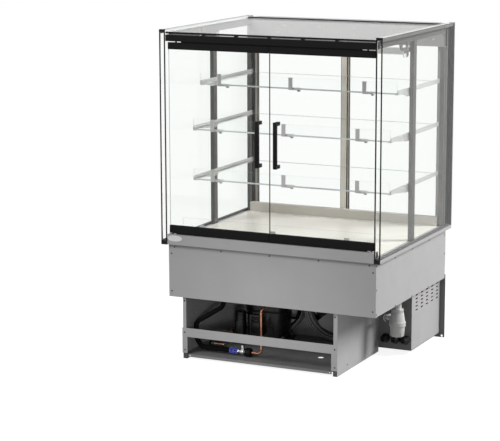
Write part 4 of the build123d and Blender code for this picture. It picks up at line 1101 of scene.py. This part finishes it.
def shroudExtras(bm):
    for x in shroudSizes["centres"]:
        for radius, back in shroudSizes["beads"]:
            ringPath = arc((x, shroudSizes["level"]), radius, 0, 355, 71, "xz", back)
            addTube(bm, ringPath, 1.3, 1, 6, True)


refine("fan_shroud", 0.8, shroudExtras, (fanGreyAndBeadHighlight,))

# Control panel: smoked display window, round buttons and a framed rocker with plain marks
panel = {"face": 852.3, "window": ((391, 434), (851.6, 852.1), (179, 201)), "buttons": (396, 406.5, 417, 427.5),
         "buttonLevel": 165, "rocker": (355, 190)}


def panelExtras(bm):
    addBox(bm, *panel["window"], slot=1, bevel=0.2)
    for x in panel["buttons"]:
        lathe(bm, [(0, -0.4), (3.6, -0.4), (3.6, 0.2), (3.1, 0.6), (0, 0.6)], (x, panel["face"], panel["buttonLevel"]),
              "y", 18, 2)
    x, z = panel["rocker"]
    for low, high in ((x - 9, x - 7.6), (x + 7.6, x + 9)):
        addBox(bm, (low, high), (panel["face"] - 0.3, panel["face"] + 0.5), (z - 14, z + 14), 2)
    for low, high in ((z - 14, z - 12.4), (z + 12.4, z + 14)):
        addBox(bm, (x - 9, x + 9), (panel["face"] - 0.3, panel["face"] + 0.5), (low, high), 2)
    spots = [(at(px, panel["face"] - 0.5, pz), (0, 1, 0)) for px in (336.5, 443.5) for pz in (156.5, 223.5)]
    addScrews(bm, spots, 3.0, 1.0, screwZinc, 3, 4)


refine("control_panel", 0.6, panelExtras, (smoked, blackCover, screwZinc, paintedRecessShade))


def rockerExtras(bm):
    addBox(bm, (354.5, 355.5), (852.0, 852.6), (193.5, 197), 1)
    lathe(bm, [(1.2, -0.3), (1.9, -0.3), (1.9, 0.3), (1.2, 0.3), (1.2, -0.3)], (355, 852.3, 184.5), "y", 18, 1)


refine("power_switch", 0.4, rockerExtras, (whitePrint,))

for nodeName, node in nodes.items():
    if not node.hide_render and nodeName in finishes:
        node.data.materials.clear()
        node.data.materials.append(finishes[nodeName])
        node.data.shade_smooth()
        node.data.set_sharp_from_angle(angle=math.radians(32))
print("machinery made")

# Studio
studio = {"floorHalf": 14.0, "fill": 0.24, "background": 1.0, "floorGlow": 0.88, "floorTone": "#8c8c8c"}
world = bpy.data.worlds.new("studioWorld")
bpy.context.scene.world = world
world.use_nodes = True
worldTree = world.node_tree
worldTree.nodes.clear()


def eitherRay(tree):                # camera, glossy and transmission rays see the background
    path = add(tree, "ShaderNodeLightPath")
    first = add(tree, "ShaderNodeMath", {0: path.outputs["Is Camera Ray"], 1: path.outputs["Is Glossy Ray"]},
                operation="MAXIMUM")
    return add(tree, "ShaderNodeMath", {0: first.outputs[0], 1: path.outputs["Is Transmission Ray"]},
               operation="MAXIMUM").outputs[0]


whiteBack = add(worldTree, "ShaderNodeBackground", {"Color": colour("#ffffff"), "Strength": studio["background"]})
softFill = add(worldTree, "ShaderNodeBackground", {"Color": colour("#ffffff"), "Strength": studio["fill"]})
worldMix = add(worldTree, "ShaderNodeMixShader", {0: eitherRay(worldTree), 1: softFill.outputs[0],
                                                  2: whiteBack.outputs[0]})
add(worldTree, "ShaderNodeOutputWorld", {"Surface": worldMix.outputs[0]})


def softLamp(name, position, target, size, power):
    light = bpy.data.lights.new(name, "AREA")
    light.shape = "DISK"
    light.size = size
    light.energy = power
    holder = bpy.data.objects.new(name, light)
    holder.location = position
    holder.rotation_euler = (Vector(target) - Vector(position)).to_track_quat("-Z", "Y").to_euler()
    bpy.context.scene.collection.objects.link(holder)
    holder.visible_camera = False
    holder.visible_transmission = False
    return holder


softLamp("rightSoftbox", (4.0, 1.8, 3.2), (0.2, 0, 0.6), 2.2, 272)
softLamp("frontSoftbox", (-2.2, -4.4, 3.9), (0, 0, 0.6), 2.8, 174)
bayLamp = softLamp("bayFill", (1.6, -3.8, 0.7), (-0.12, -0.2, 0.14), 0.5, 0.32)
bayLamp.visible_glossy = False
bayLamp.data.spread = math.radians(15)

floorMesh = bmesh.new()
half = studio["floorHalf"]
corners = [floorMesh.verts.new((x, y, 0)) for x, y in ((-half, -half), (half, -half), (half, half), (-half, half))]
floorMesh.faces.new(corners)
floorData = bpy.data.meshes.new("studioFloor")
floorMesh.to_mesh(floorData)
floorMesh.free()
studioFloor = bpy.data.objects.new("studioFloor", floorData)
bpy.context.scene.collection.objects.link(studioFloor)
# Studio floor: white to the eye, with a faint soft shadow near the object
floorMaterial, floorTree, floorShader, floorPlace = newMaterial("paleStudioFloor", Roughness=0.9, IOR=1.3)
floorShader.inputs["Base Color"].default_value = colour(studio["floorTone"])
looked = eitherRay(floorTree)
glow = add(floorTree, "ShaderNodeEmission", {"Color": colour("#ffffff"), "Strength": studio["floorGlow"]})
lit = add(floorTree, "ShaderNodeAddShader", {0: floorShader.outputs[0], 1: glow.outputs[0]})
near = add(floorTree, "ShaderNodeMixShader", {0: looked, 1: floorShader.outputs[0], 2: lit.outputs[0]})
length = add(floorTree, "ShaderNodeVectorMath", {0: floorPlace}, operation="LENGTH")
fade = add(floorTree, "ShaderNodeMapRange", {"Value": length.outputs["Value"], "From Min": 0.9, "From Max": 2.2})
plainWhite = add(floorTree, "ShaderNodeEmission", {"Color": colour("#ffffff"), "Strength": 1.0})
far = add(floorTree, "ShaderNodeMath", {0: fade.outputs[0], 1: looked}, operation="MULTIPLY")
floorMix = add(floorTree, "ShaderNodeMixShader", {0: far.outputs[0], 1: near.outputs[0], 2: plainWhite.outputs[0]})
floorTree.links.new(floorMix.outputs[0], outputOf(floorTree).inputs["Surface"])
floorData.materials.append(floorMaterial)

# Camera: long lens, above and to the right, tilted down with no shift
camera = {"place": (3.1896, -7.2193, 2.076), "yaw": 25.674, "tilt": 10.796, "roll": -0.154, "focal": 1851.98}
cameraData = bpy.data.cameras.new("photoCamera")
cameraData.sensor_width = 36.0
cameraData.lens = camera["focal"] * 36.0 / 500
cameraData.clip_end = 60
cameraObject = bpy.data.objects.new("photoCamera", cameraData)
turn = (Matrix.Rotation(math.radians(camera["yaw"]), 4, "Z")
        @ Matrix.Rotation(math.radians(90 - camera["tilt"]), 4, "X")
        @ Matrix.Rotation(math.radians(camera["roll"]), 4, "Z"))
cameraObject.matrix_world = Matrix.Translation(camera["place"]) @ turn
bpy.context.scene.collection.objects.link(cameraObject)
bpy.context.scene.camera = cameraObject

scene = bpy.context.scene
scene.view_settings.view_transform = "Standard"
scene.cycles.max_bounces = 40
scene.cycles.diffuse_bounces = 5
scene.cycles.glossy_bounces = 6
scene.cycles.transmission_bounces = 36
scene.cycles.transparent_max_bounces = 60
scene.cycles.use_denoising = True
print("studio and camera ready")
